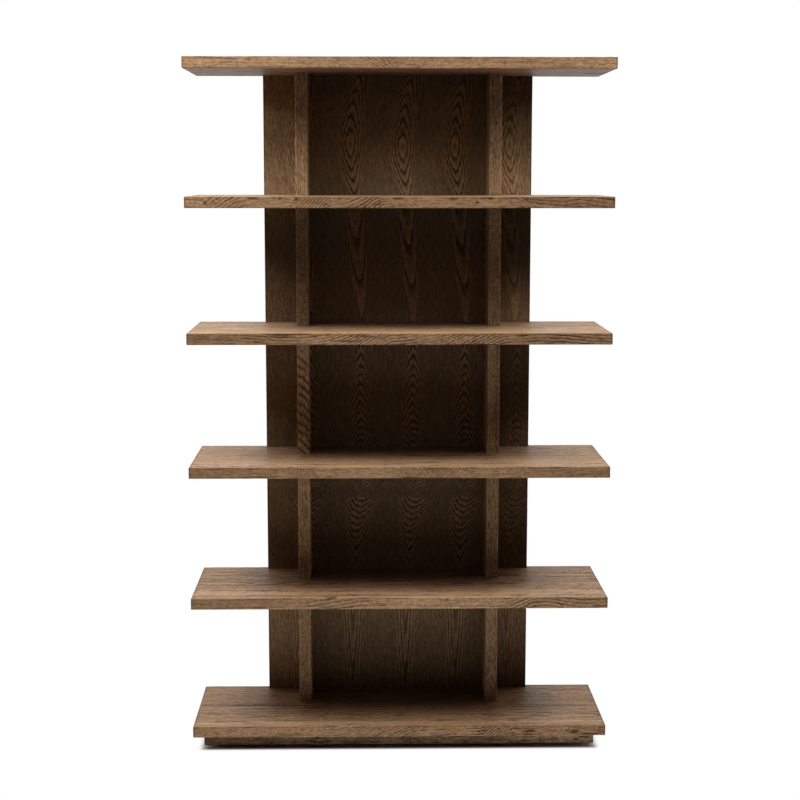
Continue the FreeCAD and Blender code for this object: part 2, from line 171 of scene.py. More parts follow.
class Veneer(bpy.types.PropertyGroup):
    """How the back panels are veneered."""

    mesh_step: distance("Mesh step", "Spacing of the mesh lines of a veneered panel", 0.006)


class Studio(bpy.types.PropertyGroup):
    """The camera, the lamps and the floor."""

    camera_place: FloatVectorProperty(name="Camera", description="Place of the lens", subtype="XYZ",
                                      unit="LENGTH", default=(-0.0862, -4.7313, 1.6830))
    camera_yaw: FloatProperty(name="Yaw", description="Turn towards +X", unit="ROTATION",
                              default=math.radians(1.089))
    camera_pitch: FloatProperty(name="Pitch", description="Downward tilt", unit="ROTATION",
                                default=math.radians(7.964))
    camera_roll: FloatProperty(name="Roll", description="Turn about the line of sight", unit="ROTATION",
                               default=math.radians(0.044))
    lens: FloatProperty(name="Focal length", description="Lens on a 36 mm sensor", unit="CAMERA",
                        default=73.016)
    key_place: FloatVectorProperty(name="Key lamp", description="Middle of the overhead soft box",
                                   subtype="XYZ", unit="LENGTH", default=(0.0, -1.75, 4.5))
    key_width: distance("Key width", "Soft box, side to side", 3.0)
    key_depth: distance("Key depth", "Soft box, front to back", 1.8)
    key_power: FloatProperty(name="Key power", description="Power of the overhead soft box", unit="POWER",
                             default=53.0)
    side_place: FloatVectorProperty(name="Side lamps", description="Middle of the right side lamp",
                                    subtype="XYZ", unit="LENGTH", default=(1.48, -0.68, 2.74))
    side_size: distance("Side size", "Width and height of a side lamp", 1.0)
    left_power: FloatProperty(name="Left power", description="Power of the left side lamp", unit="POWER",
                              default=49.0)
    right_power: FloatProperty(name="Right power", description="Power of the right side lamp", unit="POWER",
                               default=36.0)
    fill: share("Fill", "Strength of the dim studio in front of the bookcase", 0.012)
    backdrop: share("Backdrop", "Strength of the white backdrop behind the bookcase", 1.0)
    floor_size: distance("Floor size", "Width of the floor", 4.0)
    floor_shade: share("Floor shade", "Grey of the floor as it lights the bookcase", 0.9)
    shadow_reach: distance("Shadow reach", "How far the contact shadow shows past the plinth", 0.023)


class BookcaseSettings(bpy.types.PropertyGroup):
    """All settings of the bookcase."""

    colours: PointerProperty(type=WoodColours)
    wear: PointerProperty(type=BoardWear)
    veneer: PointerProperty(type=Veneer)
    studio: PointerProperty(type=Studio)


# Node trees

# Nodes are laid out in rows.
NODE_STEP = 220
NODE_ROW = 12


def feed(tree, socket, value):
    """Links an output to the socket, or sets a plain value on it."""
    if isinstance(value, bpy.types.NodeSocket):
        tree.links.new(value, socket)
    elif getattr(socket, "type", "") == "RGBA":
        socket.default_value = (*value, 1.0)
    else:
        socket.default_value = value


def put(tree, kind, inputs=None, **settings):
    """Adds a node with its settings and its inputs, each a value or another node's output."""
    node = tree.nodes.new(kind)
    node.location = (NODE_STEP * (len(tree.nodes) % NODE_ROW), -NODE_STEP * (len(tree.nodes) // NODE_ROW))
    for name, value in settings.items():
        setattr(node, name, value)
    for name, value in (inputs or {}).items():
        feed(tree, node.inputs[name], value)
    return node


def calc(tree, operation, *values):
    """The result of a Math node."""
    node = put(tree, "ShaderNodeMath", operation=operation)
    for socket, value in zip(node.inputs, values):
        feed(tree, socket, value)
    return node.outputs[0]


def vector_calc(tree, operation, first, second):
    """The result of a Vector Math node."""
    return put(tree, "ShaderNodeVectorMath", {0: first, 1: second}, operation=operation).outputs[0]


def cloud(tree, vector, scale, detail=2.0, roughness=0.5):
    """Noise from 0 to 1 with its own scale on each axis, in cycles per metre."""
    node = put(tree, "ShaderNodeTexNoise", {
        "Vector": vector_calc(tree, "MULTIPLY", vector, scale), "Scale": 1.0, "Detail": detail,
        "Roughness": roughness})
    return node.outputs["Fac"]


def swing(tree, *noise_of):
    """Noise as of cloud, but about 0."""
    return calc(tree, "SUBTRACT", cloud(tree, *noise_of), 0.5)


def place_in_part(tree):
    """The place in the part's own frame."""
    return put(tree, "ShaderNodeTexCoord").outputs["Object"]


def parts_of(tree, vector):
    """The three parts of a vector."""
    return put(tree, "ShaderNodeSeparateXYZ", {"Vector": vector}).outputs


def remap(tree, value, low, high, to_low=0.0, to_high=1.0):
    """A value eased from one span to another."""
    node = put(tree, "ShaderNodeMapRange", {"Value": value, "From Min": low, "From Max": high,
                                            "To Min": to_low, "To Max": to_high},
               interpolation_type="SMOOTHSTEP")
    return node.outputs["Result"]


def mix_colours(tree, factor, first, second):
    """Two colours, from the first to the second by a factor."""
    node = put(tree, "ShaderNodeMix", data_type="RGBA")
    for name, value in (("Factor", factor), ("A", first), ("B", second)):
        socket = next(item for item in node.inputs if item.name == name and item.enabled)
        feed(tree, socket, value)
    return next(item for item in node.outputs if item.enabled)


def profile(tree, value, points):
    """A curve through points of (place, height), as a ramp of greys."""
    node = put(tree, "ShaderNodeValToRGB", {"Fac": value})
    ramp = node.color_ramp
    ramp.interpolation = "EASE"
    while len(ramp.elements) < len(points):
        ramp.elements.new(1.0)
    for element, (place, height) in zip(ramp.elements, points):
        element.position = place
        element.color = (height, height, height, 1.0)
    return node.outputs["Color"]


def new_group(name, inputs, outputs):
    """An empty shader node group with named sockets, and its input and output nodes."""
    tree = bpy.data.node_groups.new(name, "ShaderNodeTree")
    for direction, sockets in (("INPUT", inputs), ("OUTPUT", outputs)):
        for socket_name, kind in sockets:
            tree.interface.new_socket(socket_name, in_out=direction, socket_type=f"NodeSocket{kind}")
    return tree, put(tree, "NodeGroupInput").outputs, put(tree, "NodeGroupOutput").inputs


# One growth ring from its start, as darkness: open-pored early wood, then dense late wood.
RING_PROFILE = ((0.0, 0.15), (0.06, 1.0), (0.24, 0.9), (0.44, 0.35), (0.64, 0.06), (0.94, 0.0), (1.0, 0.15))

# How rings stray, slowly, quickly and raggedly: cycles to a metre along the grain and two ways across it, and
# how much each counts.
RING_STRAYS = (((9, 26, 26), 2.0), ((34, 80, 80), 0.8), ((28, 240, 240), 2.2))

# The marks of oak: cycles to a metre, and the detail and roughness of their noise.
BREAKS = ((16, 70, 70),)
PORES = ((40, 280, 280), 2.0, 0.6)
CHECKS = ((8, 70, 190), 3.0, 0.6)
FINE_STREAKS = ((3.5, 190, 190), 4.0, 0.65)
BROAD_STREAKS = ((1.6, 34, 34), 3.0, 0.6)
SPECKS = ((130, 360, 360), 2.0, 0.7)
MOTTLE_NOISE = (3.0, 0.7)

# Where a break, a pore and a check begin and end, and how strong a ring is where it breaks and where not.
BREAK_LEVELS = (0.3, 0.62, 0.5, 1.2)
PORE_LEVELS = (0.53, 0.66)
CHECK_LEVELS = (0.58, 0.68)

# The least strength of a ring, and how much more is drawn for it.
RING_LEAST = 0.55
RING_DRAW = 0.6

# How much of the pores lies in early wood only, how much broad streaks and mottling count, and the least
# shade.
PORES_IN_EARLY_WOOD = 0.6
BROAD_SHARE = 0.8
MOTTLE_SHARE = 1.8
LEAST_SHADE = 0.25

# The roughness of late wood, what early wood and pores add to it, and how deep they lie.
LATE_ROUGHNESS = 0.45
EARLY_ROUGHNESS = 0.12
PORE_ROUGHNESS = 0.1
EARLY_HOLLOW = 0.4
PORE_HOLLOW = 0.6


def ring_darkness(tree, given):
    """How dark the rings are: early wood, stronger in some rings than in others and broken along them."""
    grain = given["Grain"]
    stray = 0.0
    for scale, weight in RING_STRAYS:
        stray = calc(tree, "MULTIPLY_ADD", swing(tree, grain, scale), weight, stray)
    parts = parts_of(tree, grain)
    squares = calc(tree, "MULTIPLY_ADD", parts[2], parts[2], calc(tree, "POWER", parts[1], 2.0))
    radius = calc(tree, "ADD", calc(tree, "SQRT", squares), given["Rise"])
    radius = calc(tree, "MULTIPLY_ADD", stray, given["Wander"], radius)
    rings = calc(tree, "DIVIDE", radius, given["Ring Width"])
    drawn = put(tree, "ShaderNodeTexWhiteNoise", {"W": calc(tree, "FLOOR", rings)}, noise_dimensions="1D")
    level = calc(tree, "MULTIPLY_ADD", drawn.outputs["Value"], RING_DRAW, RING_LEAST)
    level = calc(tree, "MULTIPLY", level, remap(tree, cloud(tree, grain, *BREAKS), *BREAK_LEVELS))
    level = calc(tree, "MULTIPLY_ADD", calc(tree, "SUBTRACT", level, 1.0), given["Ring Breaks"], 1.0)
    phase = calc(tree, "POWER", calc(tree, "FRACT", rings), given["Early Share"])
    return calc(tree, "MULTIPLY", profile(tree, phase, RING_PROFILE), level)


def stain_shade(tree, given):
    """What is left of each colour under the stain, with streaks, flecks, tone and painted light and shade."""
    grain = given["Grain"]
    streak = calc(tree, "MULTIPLY_ADD", swing(tree, grain, *BROAD_STREAKS), BROAD_SHARE,
                  swing(tree, grain, *FINE_STREAKS))
    fleck = calc(tree, "MULTIPLY_ADD", swing(tree, grain, given["Fleck Scale"], *MOTTLE_NOISE), MOTTLE_SHARE,
                 swing(tree, grain, *SPECKS))
    shade = calc(tree, "MULTIPLY_ADD", streak, given["Streak Contrast"], 1.0)
    shade = calc(tree, "MULTIPLY_ADD", fleck, given["Fleck Contrast"], shade)
    shade = calc(tree, "MULTIPLY", calc(tree, "MAXIMUM", shade, LEAST_SHADE), given["Tone"])
    powers = enumerate(parts_of(tree, given["Stain"]))
    left = {number: calc(tree, "POWER", shade, power) for number, power in powers}
    return put(tree, "ShaderNodeCombineXYZ", left).outputs[0]


def oak_figure_group():
    """Ring-porous wood cut anywhere from its log: rings, pores, short checks, streaks and shade."""
    tree, given, made = new_group(
        "Oak figure",
        (("Grain", "Vector"), ("Rise", "Float"), ("Wander", "Float"), ("Tone", "Float"),
         ("Ring Width", "Float"), ("Early Share", "Float"), ("Light Wood", "Color"), ("Dark Wood", "Color"),
         ("Pore", "Color"), ("Ring Contrast", "Float"), ("Pore Contrast", "Float"),
         ("Check Contrast", "Float"), ("Streak Contrast", "Float"), ("Fleck Contrast", "Float"),
         ("Fleck Scale", "Vector"), ("Stain", "Vector"), ("Ring Breaks", "Float")),
        (("Color", "Color"), ("Roughness", "Float"), ("Height", "Float")))
    early = ring_darkness(tree, given)
    dashes = remap(tree, cloud(tree, given["Grain"], *PORES), *PORE_LEVELS)
    pores = calc(tree, "MULTIPLY", dashes,
                 calc(tree, "MULTIPLY_ADD", early, PORES_IN_EARLY_WOOD, 1 - PORES_IN_EARLY_WOOD))
    checks = remap(tree, cloud(tree, given["Grain"], *CHECKS), *CHECK_LEVELS)
    wood = given["Light Wood"]
    for mask, contrast, colour_name in ((early, "Ring Contrast", "Dark Wood"),
                                        (pores, "Pore Contrast", "Pore"),
                                        (checks, "Check Contrast", "Pore")):
        wood = mix_colours(tree, calc(tree, "MULTIPLY", mask, given[contrast]), wood, given[colour_name])
    feed(tree, made["Color"], vector_calc(tree, "MULTIPLY", wood, stain_shade(tree, given)))
    roughness = calc(tree, "MULTIPLY_ADD", pores, PORE_ROUGHNESS, LATE_ROUGHNESS)
    feed(tree, made["Roughness"], calc(tree, "MULTIPLY_ADD", early, EARLY_ROUGHNESS, roughness))
    hollow = calc(tree, "MULTIPLY_ADD", early, EARLY_HOLLOW, calc(tree, "MULTIPLY", pores, PORE_HOLLOW))
    feed(tree, made["Height"], calc(tree, "SUBTRACT", 1.0, hollow))
    return tree


# Rubbed edges: the patches they come in and how much these count, where rubbing begins and is whole, and how
# much lighter and rougher rubbed wood is.
WEAR_PATCHES = ((55, 160, 160), 3.0)
PATCH_SHARE = 1.1
WEAR_LEVELS = (0.25, 1.0)
RUBBED_LIGHT = 0.9
RUBBED_ROUGHNESS = 0.08


def edge_wear_group():
    """Rubs the stain thin along the arrises."""
    tree, given, made = new_group(
        "Edge wear",
        (("Color", "Color"), ("Roughness", "Float"), ("Place", "Vector"), ("Wear", "Float"),
         ("Amount", "Float")),
        (("Color", "Color"), ("Roughness", "Float")))
    patches = swing(tree, given["Place"], *WEAR_PATCHES)
    level = calc(tree, "MULTIPLY_ADD", patches, PATCH_SHARE, given["Wear"])
    mask = calc(tree, "MULTIPLY", remap(tree, level, *WEAR_LEVELS), given["Amount"])
    rubbed = put(tree, "ShaderNodeVectorMath", {
        0: given["Color"], "Scale": calc(tree, "MULTIPLY_ADD", mask, RUBBED_LIGHT, 1.0)}, operation="SCALE")
    feed(tree, made["Color"], rubbed.outputs[0])
    feed(tree, made["Roughness"], calc(tree, "MULTIPLY_ADD", mask, RUBBED_ROUGHNESS, given["Roughness"]))
    return tree


# A knot's rim: the noise that frays it, how much and from where. Then how dark the knot is from its middle to
# past its rim and how much the rings swell round it, both by the way from its middle in radii.
KNOT_RIM = ((110, 420, 420), 3.0, 0.7)
FRAY = 1.4
FRAY_START = -0.75
KNOT_LEVELS = (0.4, 1.1, 0.85, 0.0)
SWELL_LEVELS = (0.4, 4.5, 1.0, 0.0)


def pin_knot_group():
    """A small dark knot, and the swelling of the rings round it."""
    tree, given, made = new_group(
        "Pin knot",
        (("Place", "Vector"), ("Middle", "Vector"), ("Spread", "Vector")),
        (("Mask", "Float"), ("Swell", "Float")))
    away = vector_calc(tree, "SUBTRACT", given["Place"], given["Middle"])
    away = vector_calc(tree, "DIVIDE", away, given["Spread"])
    reach = put(tree, "ShaderNodeVectorMath", {0: away}, operation="LENGTH").outputs["Value"]
    frayed = calc(tree, "MULTIPLY_ADD", cloud(tree, given["Place"], *KNOT_RIM), FRAY, FRAY_START)
    feed(tree, made["Mask"], remap(tree, calc(tree, "ADD", reach, frayed), *KNOT_LEVELS))
    feed(tree, made["Swell"], remap(tree, reach, *SWELL_LEVELS))
    return tree


def shared_group(name, make):
    """The group of that name, made on its first use."""
    return bpy.data.node_groups.get(name) or make()


def use_group(tree, group, inputs):
    """The outputs of a node group with these inputs."""
    return put(tree, "ShaderNodeGroup", inputs, node_tree=group).outputs


# Materials


def new_material(name):
    """A material with only its output and a Principled BSDF."""
    material = bpy.data.materials.new(name)
    material.use_nodes = True
    tree = material.node_tree
    tree.nodes.clear()
    shader = put(tree, "ShaderNodeBsdfPrincipled")
    put(tree, "ShaderNodeOutputMaterial", {"Surface": shader.outputs[0]})
    return material, tree, shader.inputs


def roughen(tree, shader, height, depth):
    """Relief of that depth from a height of 0 to 1."""
    bump = put(tree, "ShaderNodeBump", {"Height": height, "Distance": depth, "Strength": 1.0})
    feed(tree, shader["Normal"], bump.outputs["Normal"])


def attribute(tree, name, output):
    """A value that the mesh keeps."""
    return put(tree, "ShaderNodeAttribute", attribute_name=name).outputs[output]


# The three stained oaks, how wide their bloom spreads, and how deep they are brushed.
SHELF_GRAIN = Grain(rings=1.0, pores=0.6, checks=0.7, streaks=0.45, flecks=1.0, fleck_scale=(100, 170, 170),
                    wear=0.2, gloss=0.1, bloom=0.02, stain=(0.86, 1.0, 1.12), breaks=0.9)
DIVIDER_GRAIN = Grain(rings=1.0, pores=0.6, checks=0.35, streaks=0.4, flecks=1.2, fleck_scale=(60, 165, 165),
                      wear=0.3, gloss=0.12, bloom=0.0, stain=(1.0, 1.0, 1.0), breaks=0.6)
VENEER_GRAIN = Grain(rings=1.0, pores=0.5, checks=0.0, streaks=0.25, flecks=1.15, fleck_scale=(45, 190, 190),
                     wear=0.0, gloss=0.06, bloom=0.0, stain=(1.0, 1.0, 1.0), breaks=0.3)
BLOOM_SPREAD = 0.4
BRUSHED_DEPTH = 0.0004

# How far a knot pushes the rings aside, and the knots of the shelves.
KNOT_SWELL = 0.009
SHELF_KNOTS = (
    Knot((-0.229, -0.098, 0.090), 0.0100, 0.4),
    Knot((0.380, -0.190, 0.0725), 0.0045, 5.0),
    Knot((0.374, -0.190, 0.0625), 0.0035, 5.5),
    Knot((0.511, -0.190, 0.0712), 0.006, 2.8),
    Knot((0.555, -0.190, 0.0640), 0.0030, 11.0),
    Knot((0.136, -0.190, 0.4665), 0.0030, 2.4),
    Knot((-0.541, -0.190, 1.600), 0.0045, 1.5),
    Knot((-0.410, -0.190, 1.613), 0.0040, 5.0),
    Knot((-0.333, -0.190, 1.614), 0.0045, 1.5),
    Knot((-0.288, -0.190, 1.611), 0.0050, 1.3),
    Knot((-0.169, -0.190, 1.613), 0.0035, 1.5),
    Knot((-0.006, -0.190, 1.613), 0.0040, 5.0),
    Knot((0.150, -0.190, 1.613), 0.0040, 3.6),
    Knot((0.253, -0.190, 1.613), 0.0045, 3.2),
    Knot((0.215, -0.190, 1.602), 0.0045, 1.7),
    Knot((0.352, -0.190, 1.612), 0.0040, 1.8),
)


def oak_material(name, light, dark, pore, look, knots):
    """Stained, brushed oak that follows the boards' own grain."""
    material, tree, shader = new_material(name)
    grain = attribute(tree, "grain", "Vector")
    board = parts_of(tree, attribute(tree, "board", "Vector"))
    ring = parts_of(tree, attribute(tree, "ring", "Vector"))
    rise, hole = board[0], 0.0
    for knot in knots:
        pin = use_group(tree, shared_group("Pin knot", pin_knot_group), {
            "Place": place_in_part(tree), "Middle": knot.place,
            "Spread": (knot.radius * knot.stretch, knot.radius, knot.radius)})
        rise = calc(tree, "MULTIPLY_ADD", pin["Swell"], KNOT_SWELL, rise)
        hole = calc(tree, "MAXIMUM", hole, pin["Mask"])
    figure = use_group(tree, shared_group("Oak figure", oak_figure_group), {
        "Grain": grain, "Rise": rise, "Tone": board[1], "Wander": board[2], "Ring Width": ring[0],
        "Early Share": ring[2], "Light Wood": light, "Dark Wood": dark, "Pore": pore,
        "Ring Contrast": calc(tree, "MULTIPLY", ring[1], look.rings), "Pore Contrast": look.pores,
        "Check Contrast": look.checks, "Streak Contrast": look.streaks, "Fleck Contrast": look.flecks,
        "Fleck Scale": look.fleck_scale, "Stain": look.stain, "Ring Breaks": look.breaks})
    worn = use_group(tree, shared_group("Edge wear", edge_wear_group), {
        "Color": mix_colours(tree, hole, figure["Color"], pore), "Roughness": figure["Roughness"],
        "Place": grain, "Wear": attribute(tree, "wear", "Fac"), "Amount": look.wear})
    feed(tree, shader["Base Color"], worn["Color"])
    feed(tree, shader["Roughness"], worn["Roughness"])
    shader["Specular IOR Level"].default_value = look.gloss
    shader["Sheen Weight"].default_value = look.bloom
    shader["Sheen Roughness"].default_value = BLOOM_SPREAD
    roughen(tree, shader, figure["Height"], BRUSHED_DEPTH)
    return material


# Hidden wood: where the part's origin lies from its pith, how far its rings stray, and how clear its pores
# are.
TIMBER_PITH = (0.0, 0.13, 0.05)
TIMBER_WANDER = 0.002
TIMBER_PORES = 0.35


def timber_material(name, light, dark, ring_width, rings):
    """Bare hidden wood with its grain upright: rings and pores only, without a stain's shades."""
    material, tree, shader = new_material(name)
    parts = parts_of(tree, place_in_part(tree))
    turned_parts = put(tree, "ShaderNodeCombineXYZ")
    for socket, source, shift in zip(turned_parts.inputs, (Z, X, Y), TIMBER_PITH):
        feed(tree, socket, calc(tree, "ADD", parts[source], shift))
    figure = use_group(tree, shared_group("Oak figure", oak_figure_group), {
        "Grain": turned_parts.outputs[0], "Tone": 1.0, "Wander": TIMBER_WANDER, "Ring Width": ring_width,
        "Early Share": 1.0, "Light Wood": light, "Dark Wood": dark, "Pore": dark, "Ring Contrast": rings,
        "Pore Contrast": TIMBER_PORES})
    feed(tree, shader["Base Color"], figure["Color"])
    feed(tree, shader["Roughness"], figure["Roughness"])
    roughen(tree, shader, figure["Height"], BRUSHED_DEPTH / 2)
    return material


# Zinc plate: its clouds, how dark they are and what they add to its roughness, and its fine relief.
ZINC_CLOUDS = ((900, 900, 900), 3.0)
ZINC_DARK = 0.78
ZINC_ROUGHNESS = 0.2
ZINC_CLOUD_ROUGHNESS = 0.25
ZINC_GRAIN = (4000, 4000, 4000)
ZINC_RELIEF = 0.00002


def zinc_material(name, plate):
    """Bright zinc plate, a little clouded."""
    material, tree, shader = new_material(name)
    place = place_in_part(tree)
    clouds = cloud(tree, place, *ZINC_CLOUDS)
    feed(tree, shader["Base Color"], mix_colours(tree, clouds, [part * ZINC_DARK for part in plate], plate))
    feed(tree, shader["Roughness"], calc(tree, "MULTIPLY_ADD", clouds, ZINC_CLOUD_ROUGHNESS, ZINC_ROUGHNESS))
    shader["Metallic"].default_value = 1.0
    roughen(tree, shader, cloud(tree, place, ZINC_GRAIN), ZINC_RELIEF)
    return material


# Nylon: its grit, and its scuffs, where they begin and are whole and how pale they are. Then its roughness,
# what the grit adds to it, and how high the grit stands.
NYLON_GRIT = (2600, 2600, 2600)
NYLON_SCUFFS = ((120, 120, 40), 4.0)
SCUFF_LEVELS = (0.5, 0.8)
SCUFF_LIGHT = 2.4
NYLON_ROUGHNESS = 0.42
GRIT_ROUGHNESS = 0.25
GRIT_RELIEF = 0.00006


def nylon_material(name, nylon):
    """Black moulded nylon with a fine grain."""
    material, tree, shader = new_material(name)
    place = place_in_part(tree)
    grit = cloud(tree, place, NYLON_GRIT)
    scuffs = remap(tree, cloud(tree, place, *NYLON_SCUFFS), *SCUFF_LEVELS)
    feed(tree, shader["Base Color"], mix_colours(tree, scuffs, nylon, [part * SCUFF_LIGHT for part in nylon]))
    feed(tree, shader["Roughness"], calc(tree, "MULTIPLY_ADD", grit, GRIT_ROUGHNESS, NYLON_ROUGHNESS))
    roughen(tree, shader, grit, GRIT_RELIEF)
    return material


# The material of each slot of the record.
MATERIAL_NAMES = {
    "shelf_oak": "stained_shelf_oak",
    "divider_oak": "stained_divider_oak",
    "back_veneer": "crown_cut_veneer",
    "plinth_oak": "stained_plinth_oak",
    "corner_block_wood": "sawn_softwood",
    "tenon_wood": "planed_beech",
    "zinc_steel": "zinc_plate",
    "pad_plastic": "black_nylon",
}

# The stained slots: the first word of their colours, their grain and their knots.
OAKS = {
    "shelf_oak": ("shelf", SHELF_GRAIN, SHELF_KNOTS),
    "divider_oak": ("divider", DIVIDER_GRAIN, ()),
    "back_veneer": ("veneer", VENEER_GRAIN, ()),
    "plinth_oak": ("plinth", SHELF_GRAIN, ()),
}

# The bare slots: the first word of their colours, their ring width, and how clear their rings are.
TIMBERS = {
    "corner_block_wood": ("softwood", 0.004, 0.8),
    "tenon_wood": ("beech", 0.0025, 0.3),
}


def wood_pair(colours, word):
    """The light and the dark wood of one kind."""
    return getattr(colours, f"{word}_light"), getattr(colours, f"{word}_dark")


def material_of(slot, colours):
    """The material of a slot of the record, made on its first use."""
    name = MATERIAL_NAMES[slot]
    if name in bpy.data.materials:
        return bpy.data.materials[name]
    if slot in OAKS:
        word, look, knots = OAKS[slot]
        return oak_material(name, *wood_pair(colours, word), colours.pore, look, knots)
    if slot in TIMBERS:
        word, ring_width, rings = TIMBERS[slot]
        return timber_material(name, *wood_pair(colours, word), ring_width, rings)
    return zinc_material(name, colours.zinc) if slot == "zinc_steel" else nylon_material(name, colours.nylon)


# Meshes


# Mesh lines beside a softened edge, as shares of its radius.
END_SHARES = np.array((0.0, 0.3, 0.65, 1.05, 1.6, 2.4))


def stations(low, high, step, soft):
    """Places of the mesh lines along one edge of a board: packed at softened ends, even between."""
    ends = END_SHARES * soft if soft else np.zeros(1)
    count = max(1, round((high - low - 2 * ends[-1]) / step))
    middle = np.linspace(low + ends[-1], high - ends[-1], count + 1)
    return np.concatenate([low + ends[:-1], middle, high - ends[-2::-1]]) if soft else middle


def snap(lines, places):
    """Moves the nearest line to each place, so that a seam falls on a mesh line."""
    for place in places:
        lines[1 + np.argmin(np.abs(lines[1:-1] - place))] = place
    return lines


def skin(lines):
    """Points and quads of a box cut by mesh lines on its three axes."""
    points, index, quads = [], {}, []

    def corner(key):
        if key not in index:
            index[key] = len(points)
            points.append([lines[axis][key[axis]] for axis in (X, Y, Z)])
        return index[key]

    for axis in (X, Y, Z):
        across, up = (axis + 1) % 3, (axis + 2) % 3
        for side in (0, len(lines[axis]) - 1):
            for i in range(len(lines[across]) - 1):
                for j in range(len(lines[up]) - 1):
                    ring = [(i, j), (i + 1, j), (i + 1, j + 1), (i, j + 1)]
                    if side == 0:
                        ring.reverse()
                    quads.append([corner(lattice_key(axis, side, across, a, up, b)) for a, b in ring])
    return np.array(points), np.array(quads)


def lattice_key(axis, side, across, a, up, b):
    """The numbers of a point's mesh lines on X, Y and Z."""
    key = [0, 0, 0]
    key[axis], key[across], key[up] = side, a, b
    return tuple(key)


# Worn edges: how far the noise is moved for each board, its slow and quick changes to a metre and how much
# they count, how many edges have dents, how far a dent reaches, and the least and greatest radius, as shares
# of the usual one.
NOISE_SHIFT = 50
SLOW_CHANGES = 9
SLOW_SHARE = 0.8
QUICK_CHANGES = 45
QUICK_SHARE = 0.6
DENTED_EDGES = 4
DENT_REACH = (0.004, 0.012)
LEAST_RADIUS = 0.45
GREATEST_RADIUS = 2.3


def edge_radii(points, low, high, wear, draw):
    """The radius of the softened edges near each point, uneven and with dents."""
    shift = Vector([draw.uniform(-NOISE_SHIFT, NOISE_SHIFT) for _ in range(3)])
    radii = np.empty(len(points))
    for number, point in enumerate(points):
        place = Vector(point)
        slow = noise.noise(place * SLOW_CHANGES + shift)
        quick = noise.noise(place * QUICK_CHANGES + shift)
        radii[number] = wear.rounding * (1 + wear.unevenness * (SLOW_SHARE * slow + QUICK_SHARE * quick))
    length = max(high - low)
    axis = int(np.argmax(high - low))
    for _ in range(round(DENTED_EDGES * length / wear.dent_spacing)):
        place = np.array([draw.choice((a, b)) for a, b in zip(low, high)])
        place[axis] = draw.uniform(low[axis], high[axis])
        reach = draw.uniform(*DENT_REACH)
        depth = wear.dent_depth * draw.random() ** 2
        gap = np.linalg.norm(points - place, axis=1)
        radii += depth * np.exp(-(gap / reach) ** 2)
    return np.clip(radii, wear.rounding * LEAST_RADIUS, wear.rounding * GREATEST_RADIUS)


def round_edges(points, low, high, radii, axes):
    """The points drawn in to rounded edges between the faces of these axes."""
    inner = points.copy()
    for axis in axes:
        inner[:, axis] = np.clip(points[:, axis], low[axis] + radii, high[axis] - radii)
    out = points - inner
    reach = np.linalg.norm(out, axis=1)
    scale = np.where(reach > 0, radii / np.maximum(reach, 1e-9), 0.0)
    return inner + out * scale[:, None]


def edge_nearness(points, low, high, axes, reach):
    """1 on an arris between the faces of these axes, falling to 0 at the reach."""
    gaps = np.stack([np.minimum(points[:, axis] - low[axis], high[axis] - points[:, axis]) for axis in axes])
    return np.clip(1 - np.sort(gaps, axis=0)[1] / reach, 0, 1)


# Edges that turn by more than this stay sharp.
SHARP_ANGLE = math.radians(42)


def new_piece(name, points, quads, material):
    """An object with one material, smooth but at sharp edges."""
    mesh = bpy.data.meshes.new(name)
    mesh.from_pydata([tuple(point) for point in points], [], [tuple(quad) for quad in quads])
    mesh.polygons.foreach_set("use_smooth", np.ones(len(mesh.polygons), dtype=bool))
    mesh.set_sharp_from_angle(angle=SHARP_ANGLE)
    mesh.materials.append(material)
    mesh.update()
    piece = bpy.data.objects.new(name, mesh)
    bpy.context.scene.collection.objects.link(piece)
    return piece


def store(mesh, name, kind, domain, values):
    """Keeps values on the mesh for its material."""
    data = mesh.attributes.new(name, kind, domain).data
    data.foreach_set("vector" if kind == "FLOAT_VECTOR" else "value", np.asarray(values, np.float32).ravel())


# How far along its log a board may lie.
LOG_SHIFT = 20


def log_place(points, middle, axis, log):
    """Where points of a board lay in its log: along the pith, and two ways from it."""
    along = points[:, axis] - middle[axis]
    first, second = [points[:, other] - middle[other] for other in ((axis + 1) % 3, (axis + 2) % 3)]
    return np.stack([along + log.shift, first - log.pith[0] - log.slope[0] * along,
                     second - log.pith[1] - log.slope[1] * along], axis=1)


def drawn_log(draw, pith, spans):
    """A plain log with its pith at a given place."""
    slope = tuple(draw.uniform(-most, most) for most in spans.slopes)
    shift = draw.uniform(-LOG_SHIFT, LOG_SHIFT)
    tone, wander, ring_width, early = [draw.uniform(*span) for span in spans[1:]]
    return Log(pith, slope, shift, tone, wander, ring_width, early)


def store_wood(mesh, grain, board, ring):
    """Keeps the wood of each corner: its place in the log, then rise, shade and wander, then ring values."""
    for name, values in (("grain", grain), ("board", board), ("ring", ring)):
        store(mesh, name, "FLOAT_VECTOR", "CORNER", values)


# Faces that turn so far to the grain's axis show end grain, which is darker.
END_FACING = 0.8
END_GRAIN_TONE = 0.72


